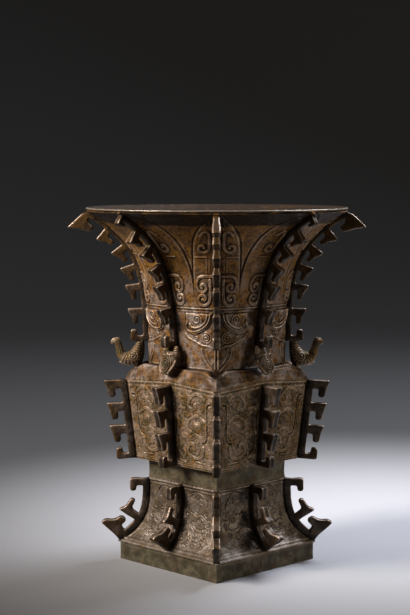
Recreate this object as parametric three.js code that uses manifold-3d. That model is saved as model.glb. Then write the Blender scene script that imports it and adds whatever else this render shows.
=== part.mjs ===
// A bronze zun, a wine vessel: a round trumpet mouth that squares off downwards onto a square body and a
// flared square foot, with eight hooked flanges up each stage, cast relief on the neck and the body, a beast
// mask on each side of the shoulder and a bird on two of its corners.
//
// Millimetres, +Z up. The origin is on the ground, on the vessel's axis, and the square's sides lie along X
// and Y. The vessel is built as it comes apart: seven cast sections that step into each other, and flanges,
// masks and birds that are cast by themselves and let into grooves and sockets of those sections.

import * as THREE from "three";
import { mergeVertices } from "three/addons/utils/BufferGeometryUtils.js";
import Module from "manifold-3d";

const wasm = await Module();
wasm.setup();

// Heights above the ground

const HEIGHT = 380;
const PLINTH_TOP = 18;
const FOOT_TOP = 90.5;
const BODY_BOTTOM = 110.5;
const BODY_TOP = 196.5;
const NECK_BOTTOM = 213;
const RIM_LIP = 3.4;
const FOOT_LIP = 2.4;

// Half-widths of the square stages, and radii of the round ones

const PLINTH_HALF = 73.9;
const FOOT_LIP_HALF = 75.2;
const WAIST_HALF = 52.1;
const BODY_BOTTOM_HALF = 62.2;
const BODY_TOP_HALF = 69.4;
const NECK_CORNER = 72;
const RIM_RADIUS = 138.6;

// How the neck and the foot flare: a steady lean, and a power of the way along

const NECK_LEAN = 5;
const NECK_POWER = 5;
const FOOT_POWER = 3.7;

// The neck's plan is a superellipse whose exponent n falls to 2, a circle, at the rim. These values are 1/n

const PLAN_AT_BOTTOM = 0.15;
const PLAN_AT_RIM = 0.5;

// Walls, and the steps in which the sections sit

const GAP = 0.3;
const WALL = 5;
const WAIST_WALL = 6;
const NECK_WALL = 4.2;
const NECK_SPIGOT_WALL = 5.2;
const STEP = 2.7;
const STEP_DEPTH = 5.5;
const FLOOR = 5;
const FLOOR_PLAY = 1;
const EDGE_BREAK = 0.5;
const INNER_CORNER = 9;
const PLINTH_SPIGOT_HALF = 60;
const SHOULDER_SEAT = 4.5;
const SHOULDER_BULGE = 0.85;
const SHOULDER_OPENING_DEPTH = 8;
const SHOULDER_LIP_HALF = 63.2;
const SHOULDER_LIP_WALL = 4.2;
const SHOULDER_LIP_DEPTH = 6;

// Flanges: a web along the wall, with a tongue in the wall's groove, and claws

const FLANGE = 7;
const WEB = 6;
const GROOVE = 2;
const CORNER_GROOVE = 5;
const WEB_INSET = 0.5;
const CLAW_ROOT = 1.5;
const CLAW_ROUND = 1.2;
const CLAW_TIP = 1.6;
const CLAW_TAPER = 0.8;
const DOWN = -1;
const UP = 1;

const NECK_CLAW = { reach: 21.5, lift: 0.8, stem: 9, drop: 15, barIn: 11.5, barOut: 16.2 };
const BODY_CLAW = { reach: 22.8, lift: 1.2, stem: 9.4, drop: 18, barIn: 12.6, barOut: 19.4 };
const END_CLAW = { reach: 19.5, lift: -0.6, stem: 6.4, drop: 13.2, barIn: 12.4, barOut: 18.6 };
const RIM_BEAK = { reach: 25.6, lift: 12.8, stem: 5, drop: 12, barIn: 11, barOut: 18.4 };
const RIM_NUB = { reach: 12, lift: 0.6, stem: 4.5, drop: 8.5, barIn: 7.4, barOut: 10.6 };
const FOOT_HOOK = { reach: 19.8, lift: -1, stem: 8.6, drop: 14.8, barIn: 13.2, barOut: 18.9 };
const FOOT_THORN = { reach: 26, lift: 1.2, stem: 7.5, drop: 17.4, barIn: 16.8, barOut: 22.4 };
const FOOT_BEAK = { reach: 27, lift: 6.8, stem: 10, drop: 17.2, barIn: 12.8, barOut: 20.4 };

// Where the claws stand, measured along the wall

const NECK_FLANGE_BOTTOM = 24;
const NECK_BEAK_BELOW_RIM = 3;
const NECK_CLAW_BELOW_BEAK = 24;
const NECK_CLAW_PITCH = 26.5;
const NECK_CLAWS = 5;
const BODY_CLAW_PITCH = 24.5;
const BODY_CLAWS = 3;
const FOOT_BEAK_ABOVE_LIP = 1;
const FOOT_THORN_ABOVE_LIP = 30;
const FOOT_HOOK_BELOW_TOP = 1;
const FOOT_TONGUE_TAPER = 24;

// Resolution

const ROUND_STEPS = 40;
const NECK_ROWS = 11;
const NECK_INNER_ROWS = 7;
const NECK_ROW_POWER = 0.7;
const FOOT_ROWS = 8;
const BODY_ROWS = 1;
const SHOULDER_ROWS = 5;
const SLOPE_STEP = 1e-3;

const SIDES = ["right", "back_right", "back", "back_left", "left", "front_left", "front", "front_right"];
const BIRD_SIDES = ["back_right", "front_left"];
const EIGHTH = Math.PI / 4;
const QUARTERS = [0, 1, 2, 3].map((quarter) => (quarter * Math.PI) / 2);
const isCorner = (side) => side % 2 === 1;

const bronze = (colour, roughness) =>
  new THREE.MeshStandardMaterial({ color: colour, roughness, metalness: 0.85 });
const BROWN_BRONZE = bronze(0x7a5634, 0.42);
const OLIVE_BRONZE = bronze(0x6d5c38, 0.48);
const GREY_BRONZE = bronze(0x6a5a49, 0.46);
const DARK_BRONZE = bronze(0x4a3a2a, 0.4);

// Solids and booleans

function solidOf(geometry) {
  const bare = geometry.clone();
  bare.deleteAttribute("normal");
  bare.deleteAttribute("uv");
  const merged = mergeVertices(bare);
  return new wasm.Manifold(
    new wasm.Mesh({
      numProp: 3,
      vertProperties: merged.attributes.position.array,
      triVerts: new Uint32Array(merged.index.array),
    }),
  );
}

function geometryOf(solid) {
  const mesh = solid.getMesh();
  const geometry = new THREE.BufferGeometry();
  geometry.setAttribute("position", new THREE.BufferAttribute(mesh.vertProperties, 3));
  geometry.setIndex(new THREE.BufferAttribute(mesh.triVerts, 1));
  geometry.computeVertexNormals();
  return geometry;
}

const join = (geometries) => geometryOf(geometries.map(solidOf).reduce((all, next) => all.add(next)));
const cut = (geometry, cutters) =>
  geometryOf(cutters.map(solidOf).reduce((left, next) => left.subtract(next), solidOf(geometry)));

// Rings of equal count, counter-clockwise from above, skinned one to the next

function skinRings(rings, faces) {
  const geometry = new THREE.BufferGeometry();
  const positions = rings.flat().flatMap((point) => point.toArray());
  geometry.setAttribute("position", new THREE.Float32BufferAttribute(positions, 3));
  geometry.setIndex(faces);
  return geometry;
}

function facesBetween(ring, next, count) {
  return Array.from({ length: count }, (_, j) => {
    const side = (j + 1) % count;
    const [a, b, c, d] = [ring * count + j, ring * count + side, next * count + side, next * count + j];
    return [a, b, c, a, c, d];
  }).flat();
}

// A wall closed on itself: its rings go up the outside and down the inside
function ringWall(rings) {
  const count = rings[0].length;
  const faces = rings.flatMap((_, i) => facesBetween(i, (i + 1) % rings.length, count));
  return skinRings(rings, faces);
}

// A tube whose rings, of an even count, are counter-clockwise about its line. Each end is closed by a ladder
// of faces between the ring's first half and its second
function closedTube(rings) {
  const count = rings[0].length;
  const last = (rings.length - 1) * count;
  const skin = rings.slice(1).flatMap((_, i) => facesBetween(i, i + 1, count));
  const ends = Array.from({ length: count / 2 - 1 }, (_, j) => {
    const [a, b, c, d] = [j, j + 1, count - 2 - j, count - 1 - j];
    return [a, c, b, a, d, c, last + a, last + b, last + c, last + a, last + c, last + d];
  }).flat();
  return skinRings(rings, [...skin, ...ends]);
}

// Eight points of a square with its corners cut off
function squareRing(half, z, cornerCut = EDGE_BREAK) {
  const upright = new THREE.Vector3(0, 0, 1);
  const ends = [cornerCut - half, half - cornerCut];
  return QUARTERS.flatMap((turn) =>
    ends.map((y) => new THREE.Vector3(half, y, z).applyAxisAngle(upright, turn)));
}

// A ring given by the radius and height at each angle
function polarRing(pointAt) {
  return Array.from({ length: ROUND_STEPS }, (_, i) => {
    const angle = (2 * Math.PI * i) / ROUND_STEPS;
    const point = pointAt(angle);
    return new THREE.Vector3(point.x * Math.cos(angle), point.x * Math.sin(angle), point.y);
  });
}

const levelRing = (radiusAt, z) => polarRing((angle) => new THREE.Vector2(radiusAt(angle), z));

// A flat outline in the plane of the axis, x outwards and y up, given a thickness across that plane
function plate(shape, thickness) {
  return new THREE.ExtrudeGeometry(shape, { depth: thickness, bevelEnabled: false })
    .translate(0, 0, -thickness / 2)
    .rotateX(Math.PI / 2);
}

const rowsOf = (count, power = 1) => Array.from({ length: count + 1 }, (_, i) => (i / count) ** power);

// Profiles of the stages, from the bottom up: t runs from 0 to 1, and a point is a radius and a height

const NECK_RISE = HEIGHT - RIM_LIP - NECK_BOTTOM - GAP;
const neckCorner = (t) =>
  NECK_CORNER + NECK_LEAN * t + (RIM_RADIUS - NECK_CORNER - NECK_LEAN) * t ** NECK_POWER;

function neckRadius(angle, t) {
  const inverse = THREE.MathUtils.lerp(PLAN_AT_BOTTOM, PLAN_AT_RIM, t);
  const face = neckCorner(t) / 2 ** (PLAN_AT_RIM - inverse);
  const sum = Math.abs(Math.cos(angle)) ** (1 / inverse) + Math.abs(Math.sin(angle)) ** (1 / inverse);
  return face / sum ** inverse;
}

const neckPoint = (angle, t) => new THREE.Vector2(neckRadius(angle, t), NECK_BOTTOM + GAP + NECK_RISE * t);

const FOOT_BOTTOM = PLINTH_TOP + GAP;
const FOOT_RISE = FOOT_TOP - FOOT_BOTTOM - FOOT_LIP;
const footHalf = (t) => WAIST_HALF + (FOOT_LIP_HALF - WAIST_HALF) * Math.max(1 - t, 0) ** FOOT_POWER;
const footPoint = (t) => new THREE.Vector2(footHalf(t), FOOT_BOTTOM + FOOT_LIP + FOOT_RISE * t);

// The point a wall's thickness in from a profile
function inside(pointAt, t, thickness) {
  const along = pointAt(t + SLOPE_STEP).sub(pointAt(t - SLOPE_STEP)).normalize();
  return pointAt(t).add(new THREE.Vector2(-along.y, along.x).multiplyScalar(thickness));
}

function neckInside(angle, t) {
  const point = inside((at) => neckPoint(angle, at), t, NECK_WALL);
  return point.setY(Math.min(point.y, HEIGHT));
}

function footInside(t) {
  const point = inside(footPoint, t, WALL);
  return point.setY(Math.max(point.y, FOOT_BOTTOM));
}

// The same profiles as curves up one side or corner of the vessel

const onSide = (point, side) => new THREE.Vector2(point.x * (isCorner(side) ? Math.SQRT2 : 1), point.y);
const neckCurve = (side) =>
  new THREE.SplineCurve(rowsOf(NECK_ROWS, NECK_ROW_POWER).map((t) => neckPoint(side * EIGHTH, t)));
const footCurve = (side) => new THREE.SplineCurve(rowsOf(FOOT_ROWS).map((t) => onSide(footPoint(t), side)));
const bodyCurve = (side) =>
  new THREE.LineCurve(
    onSide(new THREE.Vector2(BODY_BOTTOM_HALF, BODY_BOTTOM), side),
    onSide(new THREE.Vector2(BODY_TOP_HALF, BODY_TOP), side),
  );

// Points off a curve: out from it square, and along it
function placer(curve, distance) {
  const u = distance / curve.getLength();
  const origin = curve.getPointAt(u);
  const along = curve.getTangentAt(u);
  const out = new THREE.Vector2(along.y, -along.x);
  return (outwards, upwards) =>
    origin.clone().addScaledVector(out, outwards).addScaledVector(along, upwards);
}

// One claw: a straight back from its root out to a pointed tip, and a bar that turns down or up from its end
function claw(curve, distance, turn, { reach, lift, stem, drop, barIn, barOut }) {
  const place = placer(curve, distance);
  const outline = [
    [CLAW_ROOT, 0],
    [reach, -lift],
    [reach - CLAW_TIP / 4, CLAW_TIP - lift],
    [barOut + CLAW_TAPER, stem],
    [barOut, drop - CLAW_ROUND],
    [barOut - CLAW_ROUND, drop],
    [barIn + CLAW_ROUND, drop],
    [barIn, drop - CLAW_ROUND],
    [barIn, stem + CLAW_ROUND],
    [barIn - CLAW_ROUND, stem],
    [CLAW_ROOT, stem],
  ];
  return new THREE.Shape(outline.map(([outwards, across]) => place(outwards, turn * across)));
}

// The web, from its tongue in the wall to its outer edge. On a wall that starts thin the tongue deepens from
// nothing over the taper's length
function webShape(curve, { from, to, depth, rows, taper = 0 }, clearance) {
  const [start, end] = [from - clearance, to + clearance];
  const stations = rowsOf(rows).map((part) => THREE.MathUtils.lerp(start, end, part));
  const tongue = stations.map((distance) => {
    const grown = taper ? Math.min((distance - start) / taper, 1) : 1;
    return placer(curve, distance)(GAP - clearance - grown * (depth + GAP), 0);
  });
  const edge = stations.reverse().map((distance) => placer(curve, distance)(WEB, 0));
  return new THREE.Shape([...tongue, ...edge]);
}

function neckFlange(side) {
  const curve = neckCurve(side);
  const top = curve.getLength() - NECK_BEAK_BELOW_RIM;
  const claws = Array.from({ length: NECK_CLAWS }, (_, i) =>
    claw(curve, top - NECK_CLAW_BELOW_BEAK - NECK_CLAW_PITCH * i, DOWN, NECK_CLAW));
  return {
    curve,
    web: { from: NECK_FLANGE_BOTTOM + WEB_INSET, to: top - WEB_INSET, depth: GROOVE, rows: NECK_ROWS },
    claws: [
      claw(curve, top, DOWN, isCorner(side) ? RIM_BEAK : RIM_NUB),
      ...claws,
      claw(curve, NECK_FLANGE_BOTTOM, UP, END_CLAW),
    ],
  };
}

const squareGroove = (side) => (isCorner(side) ? CORNER_GROOVE : GROOVE);

function bodyFlange(side) {
  const curve = bodyCurve(side);
  const top = curve.getLength() - GAP;
  const claws = Array.from({ length: BODY_CLAWS }, (_, i) =>
    claw(curve, top - BODY_CLAW_PITCH * i, DOWN, BODY_CLAW));
  return {
    curve,
    web: { from: GAP + WEB_INSET, to: top - WEB_INSET, depth: squareGroove(side), rows: BODY_ROWS },
    claws: [...claws, claw(curve, GAP, UP, END_CLAW)],
  };
}

function footFlange(side) {
  const curve = footCurve(side);
  const top = curve.getLength() - FOOT_HOOK_BELOW_TOP;
  return {
    curve,
    web: {
      from: FOOT_BEAK_ABOVE_LIP + WEB_INSET,
      to: top - WEB_INSET,
      depth: squareGroove(side),
      rows: FOOT_ROWS,
      taper: FOOT_TONGUE_TAPER,
    },
    claws: [
      claw(curve, top, DOWN, FOOT_HOOK),
      claw(curve, FOOT_THORN_ABOVE_LIP, UP, FOOT_THORN),
      claw(curve, FOOT_BEAK_ABOVE_LIP, UP, FOOT_BEAK),
    ],
  };
}

const flangeGeometry = ({ curve, web, claws }) =>
  join([webShape(curve, web, 0), ...claws].map((shape) => plate(shape, FLANGE)));

// What the flanges' grooves take out of their wall
const groovesOf = (flange) =>
  SIDES.map((_, side) => {
    const { curve, web } = flange(side);
    return plate(webShape(curve, web, GAP), FLANGE + 2 * GAP).rotateZ(side * EIGHTH);
  });

// Masks: a wedge of a head with two horns and two eyes, on a tenon in the neck's side. Each profile point is
// a distance out from the axis and a height

const MASK_WIDTH = 15;
const MASK_BEVEL = 1.8;
const MASK_BACK = 60.4;
const MASK_CROWN = 234.3;
const MASK_PROFILE = [
  [MASK_BACK, 216],
  [70, 208.5],
  [75.5, 208],
  [78.5, 212],
  [74, 222],
  [69, 229],
  [66, MASK_CROWN],
  [MASK_BACK, MASK_CROWN],
];
const HORN = { out: 63.6, side: 7.4, bottom: 228, height: 13, foot: 2.4, tip: 1.9, facets: 8 };
const EYE = { out: 71, side: 6.4, z: 224.5, radius: 2.9, facets: 8, rows: 6 };
const TENON = { width: 8, height: 8, z: 223, depth: 2.4, inHead: 2 };

function tenonGeometry(clearance) {
  const wallFace = neckRadius(0, (TENON.z - NECK_BOTTOM) / NECK_RISE);
  const end = MASK_BACK + TENON.inHead;
  const length = end - wallFace + TENON.depth + clearance;
  return new THREE.BoxGeometry(length, TENON.width + 2 * clearance, TENON.height + 2 * clearance)
    .translate(end - length / 2, 0, TENON.z);
}

function maskGeometry() {
  const shape = new THREE.Shape(MASK_PROFILE.map(([out, z]) => new THREE.Vector2(out, z)));
  const head = new THREE.ExtrudeGeometry(shape, {
    depth: MASK_WIDTH,
    bevelThickness: MASK_BEVEL,
    bevelSize: MASK_BEVEL,
    bevelOffset: -MASK_BEVEL,
    bevelSegments: 1,
  });
  head.translate(0, 0, -MASK_WIDTH / 2).rotateX(Math.PI / 2);
  const pairs = [-1, 1].flatMap((sign) => [
    new THREE.CylinderGeometry(HORN.tip, HORN.foot, HORN.height, HORN.facets)
      .rotateX(Math.PI / 2)
      .translate(HORN.out, sign * HORN.side, HORN.bottom + HORN.height / 2),
    new THREE.SphereGeometry(EYE.radius, EYE.facets, EYE.rows).translate(EYE.out, sign * EYE.side, EYE.z),
  ]);
  return join([head, ...pairs, tenonGeometry(0)]);
}

// Birds: one tapering body from the raised tail, through the breast and the neck, to the beak, on a leg whose
// tenon sinks into the shoulder. Heights and widths are half-sizes of the body's oval section

const BIRD_LINE = [
  { out: 81.5, z: 236, high: 3.4, wide: 4.2 },
  { out: 83.5, z: 228.5, high: 5, wide: 6.6 },
  { out: 86.5, z: 221.5, high: 7, wide: 8 },
  { out: 91.5, z: 218.5, high: 7.6, wide: 8 },
  { out: 97, z: 219, high: 7.4, wide: 7 },
  { out: 101.6, z: 223, high: 5.5, wide: 5.4 },
  { out: 103, z: 229.5, high: 4.2, wide: 4.4 },
  { out: 104, z: 236, high: 4, wide: 3.9 },
  { out: 106.6, z: 239, high: 3.4, wide: 3.2 },
  { out: 109.3, z: 237, high: 2, wide: 1.9 },
];
const BIRD_FACETS = 10;
const LEG = { out: 85, width: 8, thick: 6.5, top: 219, bottom: 202 };

function birdBody() {
  const line = new THREE.SplineCurve(BIRD_LINE.map(({ out, z }) => new THREE.Vector2(out, z)));
  const rings = BIRD_LINE.map(({ high, wide }, i) => {
    const u = i / (BIRD_LINE.length - 1);
    const centre = line.getPoint(u);
    const along = line.getTangent(u);
    return Array.from({ length: BIRD_FACETS }, (_, j) => {
      const angle = (-2 * Math.PI * j) / BIRD_FACETS;
      const lift = high * Math.cos(angle);
      return new THREE.Vector3(centre.x - along.y * lift, wide * Math.sin(angle), centre.y + along.x * lift);
    });
  });
  return closedTube(rings);
}

function legGeometry(clearance) {
  const height = LEG.top - LEG.bottom + clearance;
  return new THREE.BoxGeometry(LEG.width + 2 * clearance, LEG.thick + 2 * clearance, height)
    .translate(LEG.out, 0, LEG.top - height / 2);
}

const birdGeometry = () => join([birdBody(), legGeometry(0)]);

// The main cast relief, rooted in the walls. A place on a wall is a distance round from a corner or side, and
// a distance up the wall. Every form is made on both hands of its corner or side

const RELIEF_ROOT = 1.2;
const BODY_RELIEF = 1.35;
const BLADE_RELIEF = 1.3;
const LOBE_RELIEF = 2;
const BROAD_BAND = 5.6;
const NARROW_BAND = 3.5;

// A mask on each corner of the body: a horn curled over the eye, a lid, a jaw curled under it, a hooked tail
const BODY_BANDS = [
  { width: BROAD_BAND, line: [[17, 74], [26, 76.7], [35, 74.5], [39.5, 68.5], [36.5, 61.5], [30.5, 63]] },
  { width: NARROW_BAND, line: [[18.5, 51.5], [27, 54.6], [36, 53], [42, 46.5], [38.5, 38.8]] },
  { width: BROAD_BAND, line: [[17.5, 24], [21.5, 15.5], [29, 10.5], [37.5, 12.5], [41, 19.5], [36, 25.5]] },
  { width: NARROW_BAND, line: [[46.5, 62.5], [54, 62], [56.5, 54], [56, 22], [49.5, 12.5], [45.5, 16.5]] },
];
const BODY_EYE = { across: 30, up: 44.5, wide: 7.2, high: 5, rise: 1.9, top: 0.5, facets: 8 };

// The neck's leaf blades, with a flange for their spines: half a blade's width, up to its tip
const BLADE_SPINE = 3;
const CORNER_BLADE = [[24.5, 66.5], [24.5, 90], [24.4, 113], [23.8, 135], [21, 151], [15.5, 165], [7.8, 180]];
const SIDE_BLADE = [[32, 66.5], [32.5, 90], [33, 113], [32.8, 135], [31, 152], [25, 169], [10.5, 184]];

// The brow lobes of the mask on each corner of the neck, hung from a level line
const LOBE_TOP = 60;
const LOBE_EDGE = [[7, 52], [11.5, 45.5], [19.5, 40.8], [29, 39.6], [36, 45.5]];
const ROUND_WALK = 12;

function placeOnBody({ x: across, y: up }, out) {
  const level = placer(bodyCurve(0), up);
  const face = level(out, 0);
  const round = level(0, 0).x - Math.abs(across);
  return across < 0 ? new THREE.Vector3(face.x, round, face.y) : new THREE.Vector3(round, face.x, face.y);
}

function neckSurface(angle, t) {
  const point = neckPoint(angle, t);
  return new THREE.Vector3(point.x * Math.cos(angle), point.x * Math.sin(angle), point.y);
}

// The angle that is a distance round the neck from another, walked in short steps
function angleRound(start, distance, t) {
  return Array.from({ length: ROUND_WALK }).reduce((angle) => {
    const step = neckSurface(angle + SLOPE_STEP, t).distanceTo(neckSurface(angle, t));
    return angle + ((distance / ROUND_WALK) * SLOPE_STEP) / step;
  }, start);
}

function placeOnNeck(side) {
  const corner = neckCurve(SIDES.findIndex((_, at) => isCorner(at)));
  return ({ x: across, y: up }, out) => {
    const t = (corner.getPointAt(up / corner.getLength()).y - NECK_BOTTOM - GAP) / NECK_RISE;
    const angle = angleRound(side * EIGHTH, across, t);
    const point = neckSurface(angle, t);
    const round = neckSurface(angle + SLOPE_STEP, t).sub(point);
    const rise = neckSurface(angle, t + SLOPE_STEP).sub(point);
    return point.addScaledVector(round.cross(rise).normalize(), out);
  };
}

// Rows of points across a form, from right to left as the form runs on

function bandRows(line, width) {
  const points = line.map(([across, up]) => new THREE.Vector2(across, up));
  return points.map((point, i) => {
    const before = points[Math.max(i - 1, 0)];
    const after = points[Math.min(i + 1, points.length - 1)];
    const along = after.clone().sub(before).normalize();
    const left = new THREE.Vector2(-along.y, along.x).multiplyScalar(width / 2);
    return [point.clone().sub(left), point.clone().add(left)];
  });
}

const bladeRows = (blade) =>
  blade.map(([edge, up]) =>
    [edge, (edge + BLADE_SPINE) / 2, BLADE_SPINE].map((across) => new THREE.Vector2(across, up)));
const lobeRows = () =>
  LOBE_EDGE.map(([across, bottom]) => [bottom, LOBE_TOP].map((up) => new THREE.Vector2(across, up)));
const otherHand = (rows) => rows.map((row) => row.map(({ x, y }) => new THREE.Vector2(-x, y)).reverse());

// A form on both hands, from its root in the wall up to its flat top
const raised = (place, rows, rise) =>
  [rows, otherHand(rows)].map((hand) =>
    closedTube(
      hand.map((row) => [
        ...row.map((point) => place(point, -RELIEF_ROOT)),
        ...row.map((point) => place(point, rise)).reverse(),
      ]),
    ));

// Oval bosses on both hands, whose sides slope from the wall to a smaller flat top
function bosses(place, { across, up, wide, high, rise, top, facets }) {
  const rootShare = 1 + ((1 - top) * RELIEF_ROOT) / rise;
  const ring = (centre, share, out) =>
    Array.from({ length: facets }, (_, i) => {
      const angle = (2 * Math.PI * i) / facets;
      const spot = new THREE.Vector2(wide * Math.cos(angle), high * Math.sin(angle));
      return place(spot.multiplyScalar(share).add(centre), out);
    });
  return [across, -across].map((x) => {
    const centre = new THREE.Vector2(x, up);
    return closedTube([ring(centre, rootShare, -RELIEF_ROOT), ring(centre, top, rise)]);
  });
}

function bodyRelief() {
  const bands = BODY_BANDS.flatMap(({ line, width }) =>
    raised(placeOnBody, bandRows(line, width), BODY_RELIEF));
  const corner = [...bands, ...bosses(placeOnBody, BODY_EYE)];
  return QUARTERS.flatMap((turn) => corner.map((form) => form.clone().rotateZ(turn)));
}

const neckRelief = () =>
  SIDES.flatMap((_, side) => {
    const place = placeOnNeck(side);
    const blade = raised(place, bladeRows(isCorner(side) ? CORNER_BLADE : SIDE_BLADE), BLADE_RELIEF);
    return isCorner(side) ? [...blade, ...raised(place, lobeRows(), LOBE_RELIEF)] : blade;
  });

// Sections, from the ground up

function plinthGeometry() {
  const spigotTop = PLINTH_TOP + STEP;
  return ringWall([
    squareRing(PLINTH_HALF, 0),
    squareRing(PLINTH_HALF, PLINTH_TOP),
    squareRing(PLINTH_SPIGOT_HALF, PLINTH_TOP),
    squareRing(PLINTH_SPIGOT_HALF, spigotTop),
    squareRing(PLINTH_SPIGOT_HALF - WALL, spigotTop, INNER_CORNER),
    squareRing(PLINTH_SPIGOT_HALF - WALL, 0, INNER_CORNER),
  ]);
}

function footGeometry() {
  const outer = rowsOf(FOOT_ROWS).map((t) => squareRing(footPoint(t).x, footPoint(t).y));
  const inner = rowsOf(FOOT_ROWS).map((t) => squareRing(footInside(t).x, footInside(t).y, INNER_CORNER));
  const spigotHalf = WAIST_HALF - STEP - GAP;
  const spigotTop = FOOT_TOP + STEP_DEPTH - GAP;
  const wall = ringWall([
    squareRing(FOOT_LIP_HALF, FOOT_BOTTOM),
    ...outer,
    squareRing(spigotHalf, FOOT_TOP),
    squareRing(spigotHalf, spigotTop),
    squareRing(WAIST_HALF - WALL, spigotTop, INNER_CORNER),
    ...inner.reverse(),
  ]);
  return cut(wall, groovesOf(footFlange));
}

function waistGeometry() {
  const bottom = FOOT_TOP + GAP;
  const top = BODY_BOTTOM - GAP;
  const stepHalf = WAIST_HALF - STEP;
  return ringWall([
    squareRing(WAIST_HALF, bottom),
    squareRing(WAIST_HALF, top),
    squareRing(stepHalf, top),
    squareRing(stepHalf, top + STEP_DEPTH),
    squareRing(WAIST_HALF - WAIST_WALL, top + STEP_DEPTH, INNER_CORNER),
    squareRing(WAIST_HALF - WAIST_WALL, bottom + STEP_DEPTH, INNER_CORNER),
    squareRing(stepHalf, bottom + STEP_DEPTH),
    squareRing(stepHalf, bottom),
  ]);
}

const BODY_LEDGE = BODY_BOTTOM + STEP_DEPTH + GAP;

function bodyGeometry() {
  const opening = WAIST_HALF - STEP + GAP;
  const wall = ringWall([
    squareRing(BODY_BOTTOM_HALF, BODY_BOTTOM),
    squareRing(BODY_TOP_HALF, BODY_TOP),
    squareRing(BODY_TOP_HALF - WALL, BODY_TOP, INNER_CORNER),
    squareRing(BODY_BOTTOM_HALF - WALL, BODY_LEDGE, INNER_CORNER),
    squareRing(opening, BODY_LEDGE),
    squareRing(opening, BODY_BOTTOM),
  ]);
  return cut(join([wall, ...bodyRelief()]), groovesOf(bodyFlange));
}

// The vessel's floor, a plate that rests on the ledge inside the body
function floorGeometry() {
  const half = BODY_BOTTOM_HALF - WALL - FLOOR_PLAY;
  const outline = squareRing(half, 0, INNER_CORNER).map((point) => new THREE.Vector2(point.x, point.y));
  return new THREE.ExtrudeGeometry(new THREE.Shape(outline), { depth: FLOOR, bevelEnabled: false })
    .translate(0, 0, BODY_LEDGE + GAP);
}

const squareRadius = (half) => (angle) =>
  half / Math.max(Math.abs(Math.cos(angle)), Math.abs(Math.sin(angle)));
const cutSquareRadius = (half) => (angle) => {
  const diagonal = Math.abs(Math.cos(angle)) + Math.abs(Math.sin(angle));
  return Math.min(squareRadius(half)(angle), (2 * half - INNER_CORNER) / diagonal);
};
const neckBottomRadius = (inset) => (angle) => neckRadius(angle, 0) - inset;

function shoulderGeometry() {
  const bottom = BODY_TOP + GAP;
  const edge = squareRadius(BODY_TOP_HALF);
  const seat = neckBottomRadius(-SHOULDER_SEAT);
  const slope = rowsOf(SHOULDER_ROWS).map((s) => {
    const rise = Math.sin((s * Math.PI) / 2) ** SHOULDER_BULGE;
    const radiusAt = (angle) => THREE.MathUtils.lerp(edge(angle), seat(angle), s);
    return levelRing(radiusAt, THREE.MathUtils.lerp(bottom, NECK_BOTTOM, rise));
  });
  const opening = neckBottomRadius(STEP - GAP);
  const lip = cutSquareRadius(SHOULDER_LIP_HALF);
  const wall = ringWall([
    ...slope,
    levelRing(opening, NECK_BOTTOM),
    levelRing(opening, NECK_BOTTOM - SHOULDER_OPENING_DEPTH),
    levelRing(cutSquareRadius(SHOULDER_LIP_HALF - SHOULDER_LIP_WALL), bottom - SHOULDER_LIP_DEPTH),
    levelRing(lip, bottom - SHOULDER_LIP_DEPTH),
    levelRing(lip, bottom),
  ]);
  const sockets = BIRD_SIDES.map((name) => legGeometry(GAP).rotateZ(SIDES.indexOf(name) * EIGHTH));
  return cut(wall, sockets);
}

function neckGeometry() {
  const bottom = NECK_BOTTOM + GAP;
  const ringsOf = (rows, pointAt) =>
    rowsOf(rows, NECK_ROW_POWER).map((t) => polarRing((angle) => pointAt(angle, t)));
  const outer = ringsOf(NECK_ROWS, neckPoint);
  const inner = ringsOf(NECK_INNER_ROWS, neckInside);
  const wall = ringWall([
    ...outer,
    levelRing(() => RIM_RADIUS, HEIGHT),
    ...inner.reverse(),
    levelRing(neckBottomRadius(NECK_SPIGOT_WALL), bottom - STEP_DEPTH),
    levelRing(neckBottomRadius(STEP), bottom - STEP_DEPTH),
    levelRing(neckBottomRadius(STEP), bottom),
  ]);
  const sockets = SIDES.flatMap((_, side) =>
    isCorner(side) ? [] : [tenonGeometry(GAP).rotateZ(side * EIGHTH)]);
  return cut(join([wall, ...neckRelief()]), [...groovesOf(neckFlange), ...sockets]);
}

// The vessel

const zun = new THREE.Group();

function add(name, geometry, material, side = 0) {
  const mesh = new THREE.Mesh(geometry, material);
  mesh.name = name;
  mesh.rotation.z = side * EIGHTH;
  zun.add(mesh);
}

add("plinth", plinthGeometry(), OLIVE_BRONZE);
add("foot_skirt", footGeometry(), GREY_BRONZE);
add("waist_collar", waistGeometry(), OLIVE_BRONZE);
add("body_shell", bodyGeometry(), OLIVE_BRONZE);
add("floor_plate", floorGeometry(), DARK_BRONZE);
add("shoulder_plate", shoulderGeometry(), BROWN_BRONZE);
add("neck_trumpet", neckGeometry(), BROWN_BRONZE);
SIDES.forEach((name, side) => {
  add(`neck_flange_${name}`, flangeGeometry(neckFlange(side)), DARK_BRONZE, side);
  add(`body_flange_${name}`, flangeGeometry(bodyFlange(side)), DARK_BRONZE, side);
  add(`foot_flange_${name}`, flangeGeometry(footFlange(side)), DARK_BRONZE, side);
  if (!isCorner(side)) {
    add(`mask_${name}`, maskGeometry(), OLIVE_BRONZE, side);
  }
  if (BIRD_SIDES.includes(name)) {
    add(`bird_${name}`, birdGeometry(), OLIVE_BRONZE, side);
  }
});

export default zun;
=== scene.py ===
# %% [markdown]
# # A bronze zun
#
# The vessel is a wine jar of cast bronze: a round trumpet mouth squares off downwards onto a square body,
# a plain waist, a flared square foot and a plinth. Hooked flanges run up its corners and sides, a beast's
# head sits on each side at the foot of the neck, and a bird stands on two corners of the shoulder. Almost
# every wall carries low relief, which the founder carved into the mould. So the relief is drawn flat here
# too, as heights on a sheet, and Geometry Nodes then wrap each sheet onto its wall.

# %% The frame
import math

import bpy
import numpy as np
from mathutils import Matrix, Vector
from mathutils.geometry import delaunay_2d_cdt


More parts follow.
